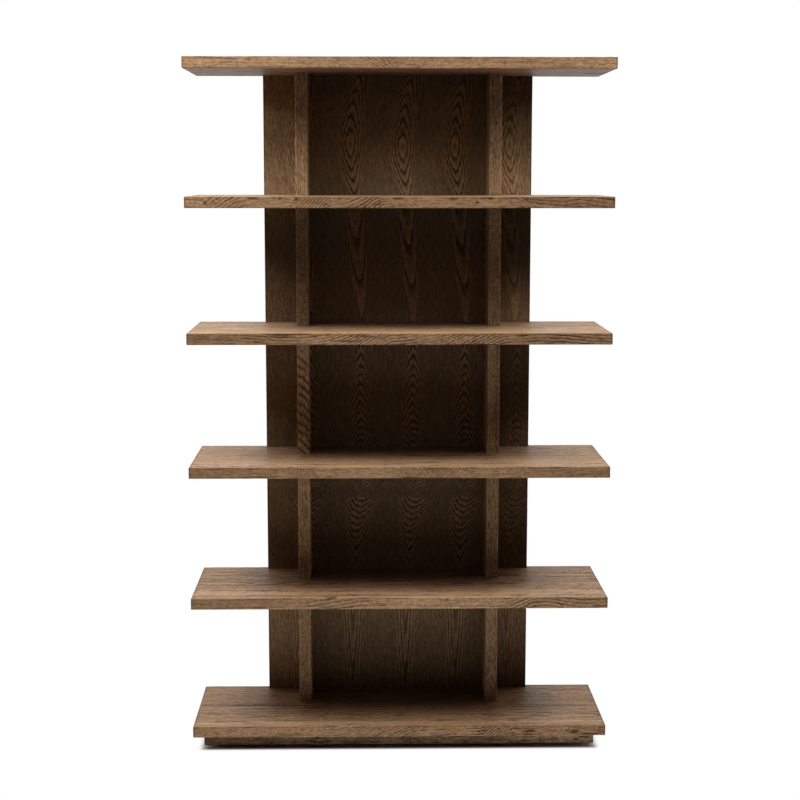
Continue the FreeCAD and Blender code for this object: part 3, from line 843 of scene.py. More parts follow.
def store_grain(mesh, quads, points, middle, axis, seams, logs, touch):
    """Gives each corner its place in the log of its stave, and its stave's shade and rings."""
    corners = points[quads]
    normals = np.empty(len(quads) * 3, np.float32)
    mesh.polygons.foreach_get("normal", normals)
    on_end = np.abs(normals.reshape(-1, 3)[:, axis]) > END_FACING
    stave = np.searchsorted(seams, corners.mean(axis=1)[:, Y])
    grain = np.empty((len(quads), 4, 3))
    board = np.zeros((len(quads), 4, 3))
    ring = np.ones((len(quads), 4, 3))
    for number, log in enumerate(logs):
        mine = stave == number
        grain[mine] = log_place(corners[mine].reshape(-1, 3), middle, axis, log).reshape(-1, 4, 3)
        board[mine, :, 1] = np.where(on_end[mine], END_GRAIN_TONE, 1.0)[:, None] * log.tone
        board[mine, :, 2] = log.wander
        ring[mine, :, 0] = log.ring_width
        ring[mine, :, 2] = log.early
    if touch:
        touch(corners, board, ring)
    store_wood(mesh, grain, board, ring)


# The places beside a point over which a curve is evened out.
CURVE_SOFTNESS = np.linspace(-0.012, 0.012, 7)


def soft_curve(places, points):
    """Heights of a line through points of (place, height), its corners softened."""
    knots, heights = zip(*points)
    return np.mean([np.interp(places + shift, knots, heights) for shift in CURVE_SOFTNESS], axis=0)


def place_piece(piece, slot, *nodes, body=CARCASS):
    """The piece stands for these nodes and hangs on their body."""
    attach(piece, body)
    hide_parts(*nodes)
    return piece


def node_box(node):
    """The low and the high corner of a node."""
    low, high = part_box(node)
    return np.array(low), np.array(high)


# How far an arris is worn, in roundings.
WEAR_REACH = 2.6


def worn_board(settings, name, node, slot, step, axes, seams, seam_axis, shape=None):
    """A board in place of a node, its edges between faces of these axes softened and worn, and its mesh."""
    wear = settings.wear
    draw = random.Random(f"{node} {wear.seed}")
    low, high = node_box(node)
    lines = [stations(low[a], high[a], step, wear.rounding if a in axes else 0) for a in (X, Y, Z)]
    lines[seam_axis] = snap(lines[seam_axis], seams)
    flat, quads = skin(lines)
    points = round_edges(flat, low, high, edge_radii(flat, low, high, wear, draw), axes)
    if shape:
        points = shape(points, low, high)
    piece = new_piece(name, points, quads, material_of(slot, settings.colours))
    nearness = edge_nearness(flat, low, high, axes, WEAR_REACH * wear.rounding)
    store(piece.data, "wear", "FLOAT", "POINT", nearness)
    return place_piece(piece, slot, node), quads, points


def solid_board(settings, node, slot, axis, axes, logs, seams=(), shape=None, touch=None):
    """A worn solid board with its grain along one axis, glued up of staves that meet at seams across Y."""
    piece, quads, points = worn_board(settings, f"oak_{node}", node, slot, settings.wear.mesh_step, axes,
                                      seams, Y, shape)
    low, high = node_box(node)
    store_grain(piece.data, quads, points, (low + high) / 2, axis, seams, logs, touch)
    return piece


# Shelves


# How wide a shelf's staves are.
STAVE_WIDTHS = (0.055, 0.095)


def stave_seams(draw, low, high):
    """Places of the glue lines across a shelf's depth."""
    widths = []
    while sum(widths) < high - low:
        widths.append(draw.uniform(*STAVE_WIDTHS))
    places = low + np.cumsum(widths) * (high - low) / sum(widths)
    return list(places[:-1])


# The stave along the front of each shelf: its shade and its ring width. Its pith is below and behind the
# edge.
FRONT_PITH = (0.08, -0.2)
FRONT_STAVES = {
    "top_shelf": (1.0, 0.0080),
    "shelf_4": (1.0, 0.0100),
    "shelf_3": (1.05, 0.0080),
    "shelf_2": (1.05, 0.0060),
    "shelf_1": (1.05, 0.0100),
    "base_shelf": (1.05, 0.0080),
}
FRONT_WANDER = 0.0026
FRONT_EARLY = 0.85
FRONT_REACH = 0.03

# How the grain climbs along each front edge, as points of (place, height).
FRONT_LIFTS = {
    "top_shelf": ((-0.6, 0.0), (-0.4, -0.004), (-0.1, -0.008), (0.0, -0.06), (0.1, -0.064), (0.6, -0.07)),
    "shelf_4": ((-0.6, 0.0), (-0.52, 0.004), (-0.44, 0.055), (-0.33, 0.062), (-0.29, 0.066), (-0.2, 0.156),
                (-0.15, 0.162), (-0.1, 0.18), (-0.05, 0.218), (0.0, 0.225), (0.1, 0.23), (0.34, 0.235),
                (0.37, 0.212), (0.46, 0.206), (0.5, 0.212), (0.6, 0.200)),
    "shelf_3": ((-0.6, 0.0), (-0.33, -0.014), (-0.27, -0.014), (-0.2, -0.006), (-0.15, 0.010), (-0.1, 0.032),
                (-0.03, 0.072), (0.02, 0.074), (0.13, 0.095), (0.29, 0.165), (0.4, 0.17), (0.6, 0.158)),
    "shelf_2": ((-0.6, 0.0), (-0.31, 0.002), (-0.24, 0.055), (-0.2, 0.06), (0.0, 0.064), (0.2, -0.076),
                (0.6, -0.085)),
    "shelf_1": ((-0.6, -0.008), (-0.26, -0.004), (-0.21, 0.006), (-0.13, 0.018), (-0.06, 0.02), (0.2, 0.016),
                (0.325, 0.016), (0.345, 0.03), (0.358, 0.03), (0.38, 0.046), (0.43, 0.048), (0.48, 0.038),
                (0.53, 0.032), (0.6, 0.036)),
    "base_shelf": ((-0.6, 0.0), (-0.17, 0.004), (-0.05, 0.058), (0.04, 0.095), (0.2, 0.1), (0.25, 0.102),
                   (0.27, 0.128), (0.3, 0.132), (0.315, 0.158), (0.35, 0.161), (0.4, 0.163), (0.6, 0.15)),
}

# How clear the rings are along each front edge, as points of (place, contrast).
FRONT_FIGURES = {
    "top_shelf": ((-0.6, 0.2), (-0.12, 0.2), (-0.09, 1.1), (-0.02, 1.1), (0.02, 0.2), (0.6, 0.25)),
    "shelf_4": ((-0.6, 0.5), (-0.54, 0.7), (-0.52, 1.3), (-0.45, 1.3), (-0.43, 0.3), (-0.3, 0.4),
                (-0.28, 1.5), (-0.21, 1.5), (-0.19, 0.4), (-0.15, 0.6), (-0.11, 1.4), (-0.05, 1.4),
                (-0.03, 0.3), (0.3, 0.4), (0.34, 1.2), (0.4, 1.0), (0.6, 0.9)),
    "shelf_3": ((-0.6, 0.3), (-0.44, 0.4), (-0.4, 1.2), (-0.02, 1.2), (0.03, 1.0), (0.06, 0.4), (0.11, 0.6),
                (0.15, 1.2), (0.3, 1.2), (0.6, 1.0)),
    "shelf_2": ((-0.6, 0.2), (-0.32, 0.2), (-0.3, 1.2), (-0.24, 1.0), (-0.22, 0.2), (-0.02, 0.2), (0.01, 1.2),
                (0.2, 1.1), (0.24, 0.4), (0.6, 0.25)),
    "shelf_1": ((-0.6, 0.2), (-0.27, 0.2), (-0.23, 1.0), (-0.1, 0.9), (0.0, 0.4), (0.1, 0.5), (0.3, 0.6),
                (0.33, 1.4), (0.39, 1.4), (0.42, 0.9), (0.6, 0.9)),
    "base_shelf": ((-0.6, 0.15), (-0.24, 0.2), (-0.18, 1.0), (0.03, 1.0), (0.06, 0.35), (0.2, 0.35),
                   (0.23, 1.4), (0.32, 1.4), (0.35, 0.6), (0.42, 0.3), (0.48, 0.3), (0.5, 0.7), (0.6, 0.7)),
}

# Painted light and shade along each front edge, as points of (place, shade).
FRONT_PAINTED_SHADING = {
    "top_shelf": ((-0.6, 1.0), (-0.2, 0.82), (0.2, 0.78), (0.6, 0.86)),
    "shelf_4": ((-0.6, 1.0), (-0.2, 0.83), (0.3, 0.78), (0.37, 0.68), (0.6, 0.66)),
    "shelf_3": ((-0.6, 0.64), (-0.35, 0.78), (-0.2, 0.96), (0.2, 0.96), (0.35, 0.82), (0.6, 0.82)),
    "shelf_2": ((-0.6, 0.76), (-0.2, 0.97), (0.2, 1.0), (0.4, 0.83), (0.6, 0.8)),
    "shelf_1": ((-0.6, 0.72), (-0.3, 0.9), (0.0, 1.2), (0.2, 1.2), (0.4, 0.97), (0.6, 0.95)),
    "base_shelf": ((-0.6, 0.86), (-0.45, 0.96), (-0.2, 0.95), (0.2, 0.93), (0.4, 0.92), (0.6, 0.93)),
}

# The arrises at a shelf's ends are darker. Its front top arris has painted shade over the rim that the lamp
# above lights, and its sheltered back between the dividers has painted shade.
END_REACH = (0.0, 0.003, 0.006)
END_SHADES = (0.45, 0.55, 1.0)
ARRIS_REACH = (0.0, 0.002, 0.0045)
ARRIS_SHADES = (0.5, 0.65, 1.0)
BACK_REACH = (0.01, 0.10, 0.30, 0.36, 0.37)
BACK_PAINTED_SHADES = (1.0, 0.82, 0.28, 0.28, 1.0)
SHELTERED_REACH = (0.27, 0.31)

# How light or dark each shelf is, 1 being usual: partly its own tone, partly painted light and sheen on the
# higher tops. Then the painted light and shade of its middle in front of the dividers, and the painted shade
# of its underside.
SHELF_TONES_AND_PAINTED_LIGHT = {"shelf_4": 1.28, "shelf_3": 1.22, "shelf_2": 1.06, "shelf_1": 1.02, "base_shelf": 1.03}
MIDDLE_PAINTED_SHADING = {"shelf_3": 1.12, "shelf_1": 0.88, "base_shelf": 0.8}
UNDERSIDE_PAINTED_SHADE = 0.74

# The top shelf's top, down to this, gets no painted shade of a sheltered back. A face this near to the lowest
# height is the underside.
OPEN_TOP = 0.01
FLUSH = 1e-5


def shelf_touch(node, low, high):
    """Waves on a shelf's front edge, its darker ends, and its painted light and shade."""
    def touch(corners, board, ring):
        along, depth, below = corners[:, :, X], corners[:, :, Y] - low[Y], high[Z] - corners[:, :, Z]
        near = np.interp(depth, (0.0, FRONT_REACH), (1.0, 0.0))
        board[:, :, 0] -= near * soft_curve(along, FRONT_LIFTS[node])
        ring[:, :, 1] += near * (soft_curve(along, FRONT_FIGURES[node]) - 1)
        # Painted shade on the sheltered back and middle between the dividers, and painted light on the higher
        # shelves.
        sheltered = np.interp(np.abs(along), SHELTERED_REACH, (1.0, 0.0))
        if node == "top_shelf":
            sheltered *= below > OPEN_TOP
        dim = np.interp(depth, BACK_REACH, BACK_PAINTED_SHADES)
        dim *= np.interp(depth, BACK_REACH[1:3], (MIDDLE_PAINTED_SHADING.get(node, 1.0), 1.0))
        shade = SHELF_TONES_AND_PAINTED_LIGHT.get(node, 1.0) * (1 + sheltered * (dim - 1))
        # Painted light and shade along the front edge.
        shade += near * (soft_curve(along, FRONT_PAINTED_SHADING[node]) - shade)
        shade *= np.interp(np.minimum(along - low[X], high[X] - along), END_REACH, END_SHADES)
        # Painted shade over the lit rim of the front top arris.
        shade *= np.interp(np.hypot(depth, below), ARRIS_REACH, ARRIS_SHADES)
        # Painted shade on the underside.
        under = np.max(corners[:, :, Z], axis=1, keepdims=True) - low[Z] < FLUSH
        shade *= np.where(under, UNDERSIDE_PAINTED_SHADE, 1.0)
        board[:, :, 1] *= shade
    return touch


def front_log(node, draw, edge):
    """The stave along a shelf's front edge."""
    tone, ring_width = FRONT_STAVES[node]
    return Log(pith=(edge + FRONT_PITH[0], FRONT_PITH[1]), slope=(0.0, 0.0),
               shift=draw.uniform(-LOG_SHIFT, LOG_SHIFT), tone=tone, wander=FRONT_WANDER,
               ring_width=ring_width, early=FRONT_EARLY)


# The staves inside a shelf: where the pith lies from a stave's middle, how far it strays, and how deep it is.
INNER_PITHS = (-0.05, 0.0, 0.05)
INNER_STRAY = 0.02
INNER_DEPTH = (0.06, 0.12)
INNER_SPANS = Spans(slopes=(0.012, 0.014), tone=(0.86, 1.1), wander=(0.001, 0.0025),
                    ring_width=(0.003, 0.0055), early=(0.7, 1.0))


def inner_log(draw, offset):
    """A stave inside a shelf: rift or flat-sawn on its top, with a quiet figure."""
    aside = offset + draw.choice(INNER_PITHS) + draw.uniform(-INNER_STRAY, INNER_STRAY)
    return drawn_log(draw, (aside, -draw.uniform(*INNER_DEPTH)), INNER_SPANS)


# Pilot holes for a wall strap in the rear edge of the top shelf.
STRAP_SPREAD = 0.4
STRAP_RADIUS = 0.0015
STRAP_DEPTH = 0.02
STRAP_SIDES = 24

# Faces that turn so far to the rear belong to the rear edge.
REAR_FACING = 0.9


def build_shelf(settings, node):
    """A shelf of glued staves. The top one is bored for a wall strap."""
    draw = random.Random(f"staves of {node} {settings.wear.seed}")
    low, high = node_box(node)
    seams = stave_seams(draw, low[Y], high[Y])
    edges = [low[Y], *seams, high[Y]]
    middle = (low[Y] + high[Y]) / 2
    logs = [inner_log(draw, (a + b) / 2 - middle) for a, b in zip(edges, edges[1:])]
    logs[0] = front_log(node, draw, low[Y] - middle)
    piece = solid_board(settings, node, "shelf_oak", X, (X, Y, Z), logs, seams,
                        touch=shelf_touch(node, low, high))
    if node == "top_shelf":
        for side in (-1, 1):
            bore_rear_edge(piece.data, Vector((side * STRAP_SPREAD / 2, high[Y], (low[Z] + high[Z]) / 2)))
    return piece


def bore_rear_edge(mesh, mouth):
    """A blind hole into the rear edge of a board, whose new faces follow the wood round it."""
    work = bmesh.new()
    work.from_mesh(mesh)
    spoilt = [face for face in work.faces
              if face.normal.y > REAR_FACING and covers(face, mouth, STRAP_RADIUS)]
    layers = work.loops.layers.float_vector
    first = spoilt[0].loops[0]
    start = first.vert.co.copy()
    values = {name: first[layers[name]].copy() for name in ("grain", "board", "ring")}
    rim = [edge for edge in set(edge for face in spoilt for edge in face.edges)
           if len([face for face in edge.link_faces if face in spoilt]) == 1]
    kept = set(work.faces) - set(spoilt)
    bmesh.ops.delete(work, geom=spoilt, context="FACES_KEEP_BOUNDARY")
    turns = [2 * math.pi * number / STRAP_SIDES for number in range(STRAP_SIDES)]
    rays = [Vector((math.cos(turn), 0.0, math.sin(turn))) for turn in turns]
    ring = [work.verts.new(mouth + STRAP_RADIUS * ray) for ray in rays]
    floor = [work.verts.new(vert.co - Vector((0.0, STRAP_DEPTH, 0.0))) for vert in ring]
    edges = [work.edges.new(pair) for pair in zip(ring, ring[1:] + ring[:1])]
    bmesh.ops.bridge_loops(work, edges=rim + edges)
    for here, there, below, beside in zip(ring, ring[1:] + ring[:1], floor[1:] + floor[:1], floor):
        work.faces.new((here, there, below, beside))
    work.faces.new(floor)
    fresh = [face for face in work.faces if face not in kept]
    bmesh.ops.recalc_face_normals(work, faces=work.faces)
    for face in fresh:
        face.smooth = False
        for loop in face.loops:
            loop[layers["grain"]] = values["grain"] + loop.vert.co - start
            loop[layers["board"]] = values["board"]
            loop[layers["ring"]] = values["ring"]
    work.to_mesh(mesh)
    work.free()


def covers(face, place, reach):
    """Whether a face of the rear edge comes within the reach of a place."""
    across = [vert.co.x for vert in face.verts]
    heights = [vert.co.z for vert in face.verts]
    return (min(across) - reach < place.x < max(across) + reach
            and min(heights) - reach < place.z < max(heights) + reach)


# Dividers


# Dividers whose front edges have a figure of their own.
DIVIDER_LOGS = {
    "left_divider_3": Log(pith=(-0.026, 0.2), slope=(0.0, 0.105), shift=4.0, tone=1.0, wander=0.0010,
                          ring_width=0.0029, early=0.85),
    "right_divider_3": Log(pith=(-0.1, 0.1375), slope=(0.0, 0.193), shift=7.0, tone=1.0, wander=0.0006,
                           ring_width=0.0030, early=1.3),
    "left_divider_1": Log(pith=(-0.09, 0.12), slope=(0.0, 0.17), shift=-3.0, tone=1.0, wander=0.0010,
                          ring_width=0.0028, early=0.8),
    "left_divider_4": Log(pith=(-0.045, 0.14), slope=(0.0, 0.3), shift=-9.0, tone=1.0, wander=0.0008,
                          ring_width=0.0024, early=0.9),
    "right_divider_4": Log(pith=(-0.06, 0.12), slope=(0.0, 0.25), shift=2.0, tone=1.0, wander=0.0008,
                           ring_width=0.0026, early=0.9),
}

# How clear the rings of these are, as points of (height, contrast).
DIVIDER_FIGURES = {
    "left_divider_3": ((0.854, 1.6), (1.08, 1.6), (1.10, 0.5), (1.12, 1.4), (1.14, 1.4), (1.15, 0.2),
                       (1.2, 0.2)),
    "left_divider_4": ((1.236, 1.4), (1.33, 1.4), (1.35, 0.2), (1.42, 0.2), (1.44, 1.5), (1.53, 1.5),
                       (1.56, 0.4)),
    "right_divider_4": ((1.236, 1.4), (1.34, 1.4), (1.36, 0.15), (1.586, 0.15)),
}

# A divider whose rings show along one arris only, as points of (place, contrast).
DIVIDER_BANDS = {"right_divider_3": ((0.284, 0.12), (0.287, 1.5), (0.2965, 1.5), (0.2985, 0.4))}

# Painted light and shade: how dark or light each divider is drawn, 1 being usual.
DIVIDER_PAINTED_SHADING = {
    "left_divider_5": 1.16, "left_divider_4": 0.72, "right_divider_4": 0.88, "left_divider_3": 1.46,
    "right_divider_3": 1.3, "left_divider_2": 1.48, "right_divider_2": 1.18, "left_divider_1": 1.3,
    "right_divider_1": 1.12,
}

# The other dividers: how far the pith lies to one side, and to the front or the rear.
DIVIDER_ASIDE = (0.05, 0.09)
DIVIDER_DEPTH = (-0.03, 0.03)
DIVIDER_SPANS = Spans(slopes=(0.05, 0.03), tone=(0.97, 1.03), wander=(0.002, 0.004),
                      ring_width=(0.003, 0.005), early=(0.7, 0.7))


def divider_log(draw):
    """A quiet upright stave, rift-sawn on its front edge."""
    aside = draw.choice((-1, 1)) * draw.uniform(*DIVIDER_ASIDE)
    return drawn_log(draw, (aside, draw.uniform(*DIVIDER_DEPTH)), DIVIDER_SPANS)


def build_divider(settings, side, bay):
    """A divider in one piece, with a figure of its own or a plain one."""
    node = f"{side}_divider_{bay}"
    draw = random.Random(f"log of {node} {settings.wear.seed}")
    log = DIVIDER_LOGS.get(node) or divider_log(draw)
    # The divider's painted light and shade goes into its log's tone.
    log = log._replace(tone=log.tone * DIVIDER_PAINTED_SHADING.get(node, 1.0))

    def touch(corners, board, ring):
        if node in DIVIDER_FIGURES:
            ring[:, :, 1] *= soft_curve(corners[:, :, Z], DIVIDER_FIGURES[node])
        if node in DIVIDER_BANDS:
            ring[:, :, 1] *= np.interp(corners[:, :, X], *zip(*DIVIDER_BANDS[node]))

    return solid_board(settings, node, "divider_oak", Z, (X, Y), [log], touch=touch)


# Back panels


# The bays from the top down.
CROWNS = {
    5: Crown(axes=(-0.300, -0.142, 0.014, 0.170, 0.333), eyes=(1.765, 1.768, 1.757, 1.760, 1.765),
             ring_width=0.0068, rates=(0.195, 0.178), softness=0.018, ease=0.0, depths=(0.017, 0.019),
             lean=0.0, bend=(1.765, 0.65, 0.70), swirl=None, early=1.05, wander=0.0024, lift=0.85, tips=0.95,
             reach=((1.62, 0.015), (1.70, 0.028), (1.77, 0.036), (1.85, 0.036), (1.97, 0.026)),
             tones=((0.0, 1.11), (0.105, 0.95), (0.245, 0.84), (0.315, 0.56)),
             sides=((1.12, 0.79, 2.3), (1.25, 0.65, 0.7))),
    4: Crown(axes=(-0.283, -0.125, 0.031, 0.190, 0.340), eyes=(1.714, 1.714, 1.692, 1.688, 1.700),
             ring_width=0.0076, rates=(0.066, 0.066), softness=0.004, ease=0.0, depths=(0.032, 0.032),
             lean=-0.075, bend=(1.484, 0.0, 0.0), swirl=None, early=0.7, wander=0.0021, lift=0.95, tips=0.8,
             reach=((1.24, 0.003), (1.30, 0.010), (1.38, 0.016), (1.45, 0.019), (1.58, 0.020)),
             tones=((0.0, 1.23), (0.1, 0.78), (0.175, 0.54), (0.25, 0.48)),
             sides=((0.58, 1.07, 1.55), (0.86, 0.56, 0.61))),
    3: Crown(axes=(-0.272, -0.113, 0.046, 0.203, 0.362), eyes=(0.800, 0.800, 0.796, 0.800, 0.800),
             ring_width=0.0055, rates=(0.26, 0.26), softness=0.004, ease=0.13, depths=(0.030, 0.022),
             lean=0.0, bend=(0.854, 0.0, 0.0), swirl=None, early=1.0, wander=0.0026, lift=0.8, tips=1.0,
             reach=((0.854, 0.024), (0.95, 0.026), (1.02, 0.027), (1.10, 0.016), (1.17, 0.006)),
             tones=((0.0, 1.0), (0.105, 0.77), (0.175, 0.72), (0.28, 0.83)),
             sides=((0.82, 1.55, 1.08), (0.61, 0.46, 0.53))),
    2: Crown(axes=(-0.285, -0.127, 0.037, 0.193, 0.345), eyes=(0.738, 0.738, 0.734, 0.738, 0.738),
             ring_width=0.0058, rates=(0.55, 0.55), softness=0.045, ease=0.90, depths=(0.006, 0.100),
             lean=0.0, bend=(0.57, 0.0, 1.2), swirl=(0.031, 0.738, 0.040), early=0.9, wander=0.0024,
             lift=0.85, tips=0.9,
             reach=((0.472, 0.008), (0.53, 0.020), (0.60, 0.027), (0.65, 0.036), (0.69, 0.048),
                    (0.705, -0.02)),
             tones=((0.0, 0.765), (0.12, 0.765), (0.24, 0.67), (0.32, 0.87)),
             sides=((1.1, 1.47, 1.13), (0.52, 0.63, 0.67))),
    1: Crown(axes=(-0.297, -0.139, 0.024, 0.1795, 0.337), eyes=(0.638, 0.643, 0.630, 0.658, 0.638),
             ring_width=0.0085, rates=(0.053, 0.053), softness=0.004, ease=0.0, depths=(0.006, 0.006),
             lean=0.0, bend=(0.09, 0.0, 0.0), swirl=None, early=0.9, wander=0.0015, lift=0.65, tips=0.5,
             reach=((0.09, 0.022), (0.44, 0.024)),
             tones=((0.0, 0.545), (0.105, 0.765), (0.175, 0.88), (0.28, 1.22)),
             sides=((1.75, 1.7, 1.08), (0.74, 0.98, 0.93))),
}

# How clear the rings are outside the figure, where they run too close to tell apart, and how soon they fade.
MARGIN_CONTRAST = 0.1
MARGIN_BLEND = 0.010

# A ring's tip is as wide as this.
TIP_REACH = 0.012

# A swirl: how fast its rings rise, how clear they are and how soon from its rim, and where they fade to one
# side, in radii.
SWIRL_RATE = 0.62
SWIRL_CONTRAST = 1.25
SWIRL_RIM = 4
SWIRL_OPENING = 0.75
SWIRL_FADE = 0.7

# The outer arrises are darker, and the rear has one even shade in place of the front's painted light and
# shade.
PANEL_ARRIS_REACH = (0.0, 0.002, 0.004)
PANEL_ARRIS_SHADES = (0.3, 0.3, 1.0)
REAR_TONE = 0.7

# A panel's painted light and shade changes behind the dividers, and its figure is clearer between them than
# beside them.
SIDE_PLACES = (0.262, 0.302)
SIDE_HEIGHTS = (0.03, 0.175, 0.32)
FIGURE_CONTRASTS = (1.05, 0.75)


def build_back_panel(settings, bay):
    """A panel under slip-matched leaves, each with the same crown figure."""
    crown = CROWNS[bay]
    node = f"back_panel_{bay}"
    axes = np.array(crown.axes)
    seams = (axes[1:] + axes[:-1]) / 2
    piece, quads, points = worn_board(settings, f"veneered_{node}", node, "back_veneer",
                                      settings.veneer.mesh_step, (X, Y), seams, X)
    corners = points[quads]
    store_leaves(piece.data, corners, np.searchsorted(seams, corners.mean(axis=1)[:, X]), crown)
    return piece


def store_leaves(mesh, corners, leaf, crown):
    """Gives each corner its place in its leaf: up the leaf, off its axis, and off the pith."""
    place, height = corners[:, :, X], corners[:, :, Z]
    bend = height - crown.bend[0]
    aside = place - np.array(crown.axes)[leaf][:, None]
    across = aside - crown.lean * bend - np.where(bend > 0, crown.bend[2], crown.bend[1]) * bend ** 2
    eye_gap = height - np.array(crown.eyes)[leaf][:, None]
    depth = np.interp(height, (height.min(), height.max()), crown.depths)
    rise = np.where(eye_gap > 0, crown.rates[1], crown.rates[0]) * np.hypot(eye_gap, crown.softness) - depth
    rise -= crown.ease * eye_gap ** 2
    reach = np.interp(height, *zip(*crown.reach))
    contrast = np.interp(np.abs(across) - reach, (0.0, MARGIN_BLEND), (1.0, MARGIN_CONTRAST))
    contrast *= np.interp(np.abs(across), (0.0, TIP_REACH), (crown.tips, 1.0))
    if crown.swirl:
        from_axis, eye, radius = crown.swirl
        away = np.clip(1 - np.hypot(aside - from_axis, height - eye) / radius, 0, 1)
        rise -= SWIRL_RATE * radius * away
        clear = np.clip(SWIRL_OPENING - (aside - from_axis) / (SWIRL_FADE * radius), 0, 1)
        contrast = np.maximum(contrast, SWIRL_CONTRAST * np.clip(SWIRL_RIM * away, 0, 1) * clear)
    contrast *= np.interp(np.abs(place), SIDE_PLACES, FIGURE_CONTRASTS)
    # The bay's painted light and shade, lighter where the crown's pale wood shows.
    tone = painted_panel_shading(corners, crown) * (1 + crown.lift * np.clip(contrast, 0, 1))
    ones = np.ones_like(rise)
    store_wood(mesh, np.stack([height, across, depth], axis=2),
               np.stack([rise, tone, crown.wander * ones], axis=2),
               np.stack([crown.ring_width * ones, contrast, crown.early * ones], axis=2))


def painted_panel_shading(corners, crown):
    """The bay's painted light and shade on a panel's front, an even shade on its rear, and dark outer
    arrises.
    """
    place, depth, height = [corners[:, :, axis] for axis in (X, Y, Z)]
    up = height - height.min()
    left, right = [np.interp(up, SIDE_HEIGHTS, shades) for shades in crown.sides]
    beside = np.interp(np.abs(place), SIDE_PLACES, (0.0, 1.0))
    shade = soft_curve(up, crown.tones) * (1 + beside * (np.where(place < 0, left, right) - 1))
    front = np.interp(depth, (depth.min(), depth.max()), (1.0, 0.0))
    inside = np.minimum(place - place.min(), place.max() - place)
    arris = np.interp(inside, PANEL_ARRIS_REACH, PANEL_ARRIS_SHADES)
    return (REAR_TONE + front * (shade - REAR_TONE)) * arris


# Plinth


# The rails: where the pith lies, on the two axes across the grain.
RAIL_ASIDE = (0.06, 0.1)
RAIL_DEPTH = (-0.04, 0.04)
RAIL_SPANS = Spans(slopes=(0.03, 0.02), tone=(0.92, 1.05), wander=(0.002, 0.004), ring_width=(0.003, 0.005),
                   early=(0.85, 0.85))


def rail_log(draw):
    """A plain stave along the plinth."""
    return drawn_log(draw, (draw.uniform(*RAIL_ASIDE), draw.uniform(*RAIL_DEPTH)), RAIL_SPANS)


def mitre_front(points, low, high):
    """Draws in the ends of the front rail towards its inner face."""
    inner = points[:, Y] - low[Y]
    half = (high[X] - low[X]) / 2
    moved = points.copy()
    moved[:, X] = points[:, X] * (1 - inner / half)
    return moved


def mitre_side(outer_sign):
    """Draws in the front end of a side rail towards its inner face."""
    def shape(points, low, high):
        inner = points[:, X] - low[X] if outer_sign < 0 else high[X] - points[:, X]
        length = high[Y] - low[Y]
        moved = points.copy()
        moved[:, Y] = high[Y] - (high[Y] - points[:, Y]) * (1 - inner / length)
        return moved
    return shape


# Painted light and shade along the front rail, as points of (place, shade).
FRONT_RAIL_PAINTED_SHADING = ((-0.575, 0.7), (-0.2, 1.15), (0.25, 1.35), (0.42, 2.2), (0.575, 2.35))


def paint_shading_on_front_rail(corners, board, ring):
    """Paints light and shade along the front rail."""
    board[:, :, 1] *= soft_curve(corners[:, :, X], FRONT_RAIL_PAINTED_SHADING)


def build_rail(settings, word):
    """A rail of the plinth, mitred where two meet at a front corner."""
    node = f"plinth_{word}_rail"
    draw = random.Random(f"log of {node} {settings.wear.seed}")
    shapes = {"front": mitre_front, "left": mitre_side(-1), "right": mitre_side(1)}
    axis = X if word in ("front", "back") else Y
    axes = (Y, Z) if axis == X else (X, Z)
    return solid_board(settings, node, "plinth_oak", axis, axes, [rail_log(draw)], shape=shapes.get(word),
                       touch=paint_shading_on_front_rail if word == "front" else None)


# Fittings


# The columns of a turned shape, and their places as shares of a turn.
TURN_COLUMNS = 24
TURNS = np.arange(TURN_COLUMNS) / TURN_COLUMNS

# The stud: its radius, its pin below the collar, the collar across its flats, its bevels, and its thread.
STUD_RADIUS = 0.004
PIN_LENGTH = 0.005
COLLAR_FLATS = 0.013
COLLAR_HEIGHT = 0.005
COLLAR_FACE = 0.0061
COLLAR_BEVEL = 0.0006
TIP_BEVEL = 0.001
STUD_PITCH = 0.00125
STUD_GROOVE = 0.00077

# The screw: the radii of its head and shank, its cross recess, and its thread.
HEAD_RADIUS = 0.005
SHANK_RADIUS = 0.0025
HEAD_RIM = 0.0002
RECESS_RINGS = (0.0004, 0.0008, 0.0012, 0.0016, 0.002, 0.0023, 0.0026, 0.0036)
RECESS_REACH = 0.0025
RECESS_HALF_WIDTH = 0.00065
RECESS_DEPTH = 0.0023
PLAIN_SHANK = 0.022
SCREW_TIP = 0.005
SCREW_PITCH = 0.0025
SCREW_GROOVE = 0.0008

# The profile of a thread: half a root and half a crest, as shares of the pitch.
ROOT_HALF = 0.125
CREST_HALF = 0.0625
THREAD_STEPS = 8


def turned(rows):
    """Points and faces of a closed shape turned about Z, from rows of (height, radius), either by column."""
    points, faces = [], []
    for height, radius in rows:
        heights, radii = np.broadcast_to(height, TURNS.shape), np.broadcast_to(radius, TURNS.shape)
        angles = 2 * np.pi * TURNS
        points.append(np.stack([radii * np.cos(angles), radii * np.sin(angles), heights], axis=1))
    for row in range(len(rows) - 1):
        for column in range(TURN_COLUMNS):
            beside = (column + 1) % TURN_COLUMNS
            base, over = row * TURN_COLUMNS, (row + 1) * TURN_COLUMNS
            faces.append((base + column, base + beside, over + beside, over + column))
    last = (len(rows) - 1) * TURN_COLUMNS
    faces.append(tuple(reversed(range(TURN_COLUMNS))))
    faces.append(tuple(range(last, last + TURN_COLUMNS)))
    return np.concatenate(points), faces


def thread_rows(start, end, radius, pitch, groove):
    """Rows of a right-hand thread up the Z axis, between two heights."""
    rows = []
    for height in np.arange(start, end, pitch / THREAD_STEPS):
        from_root = np.abs(((height - start) / pitch - TURNS) % 1.0 - 0.5)
        share_up = np.clip((from_root - ROOT_HALF) / (0.5 - CREST_HALF - ROOT_HALF), 0, 1)
        rows.append((height, radius - groove * (1 - share_up)))
    return rows


def tapered(rows, end, radius, slope):
    """The rows kept inside a cone that closes to a radius at the end."""
    return [(height, np.minimum(radii, radius + slope * (end - height))) for height, radii in rows]


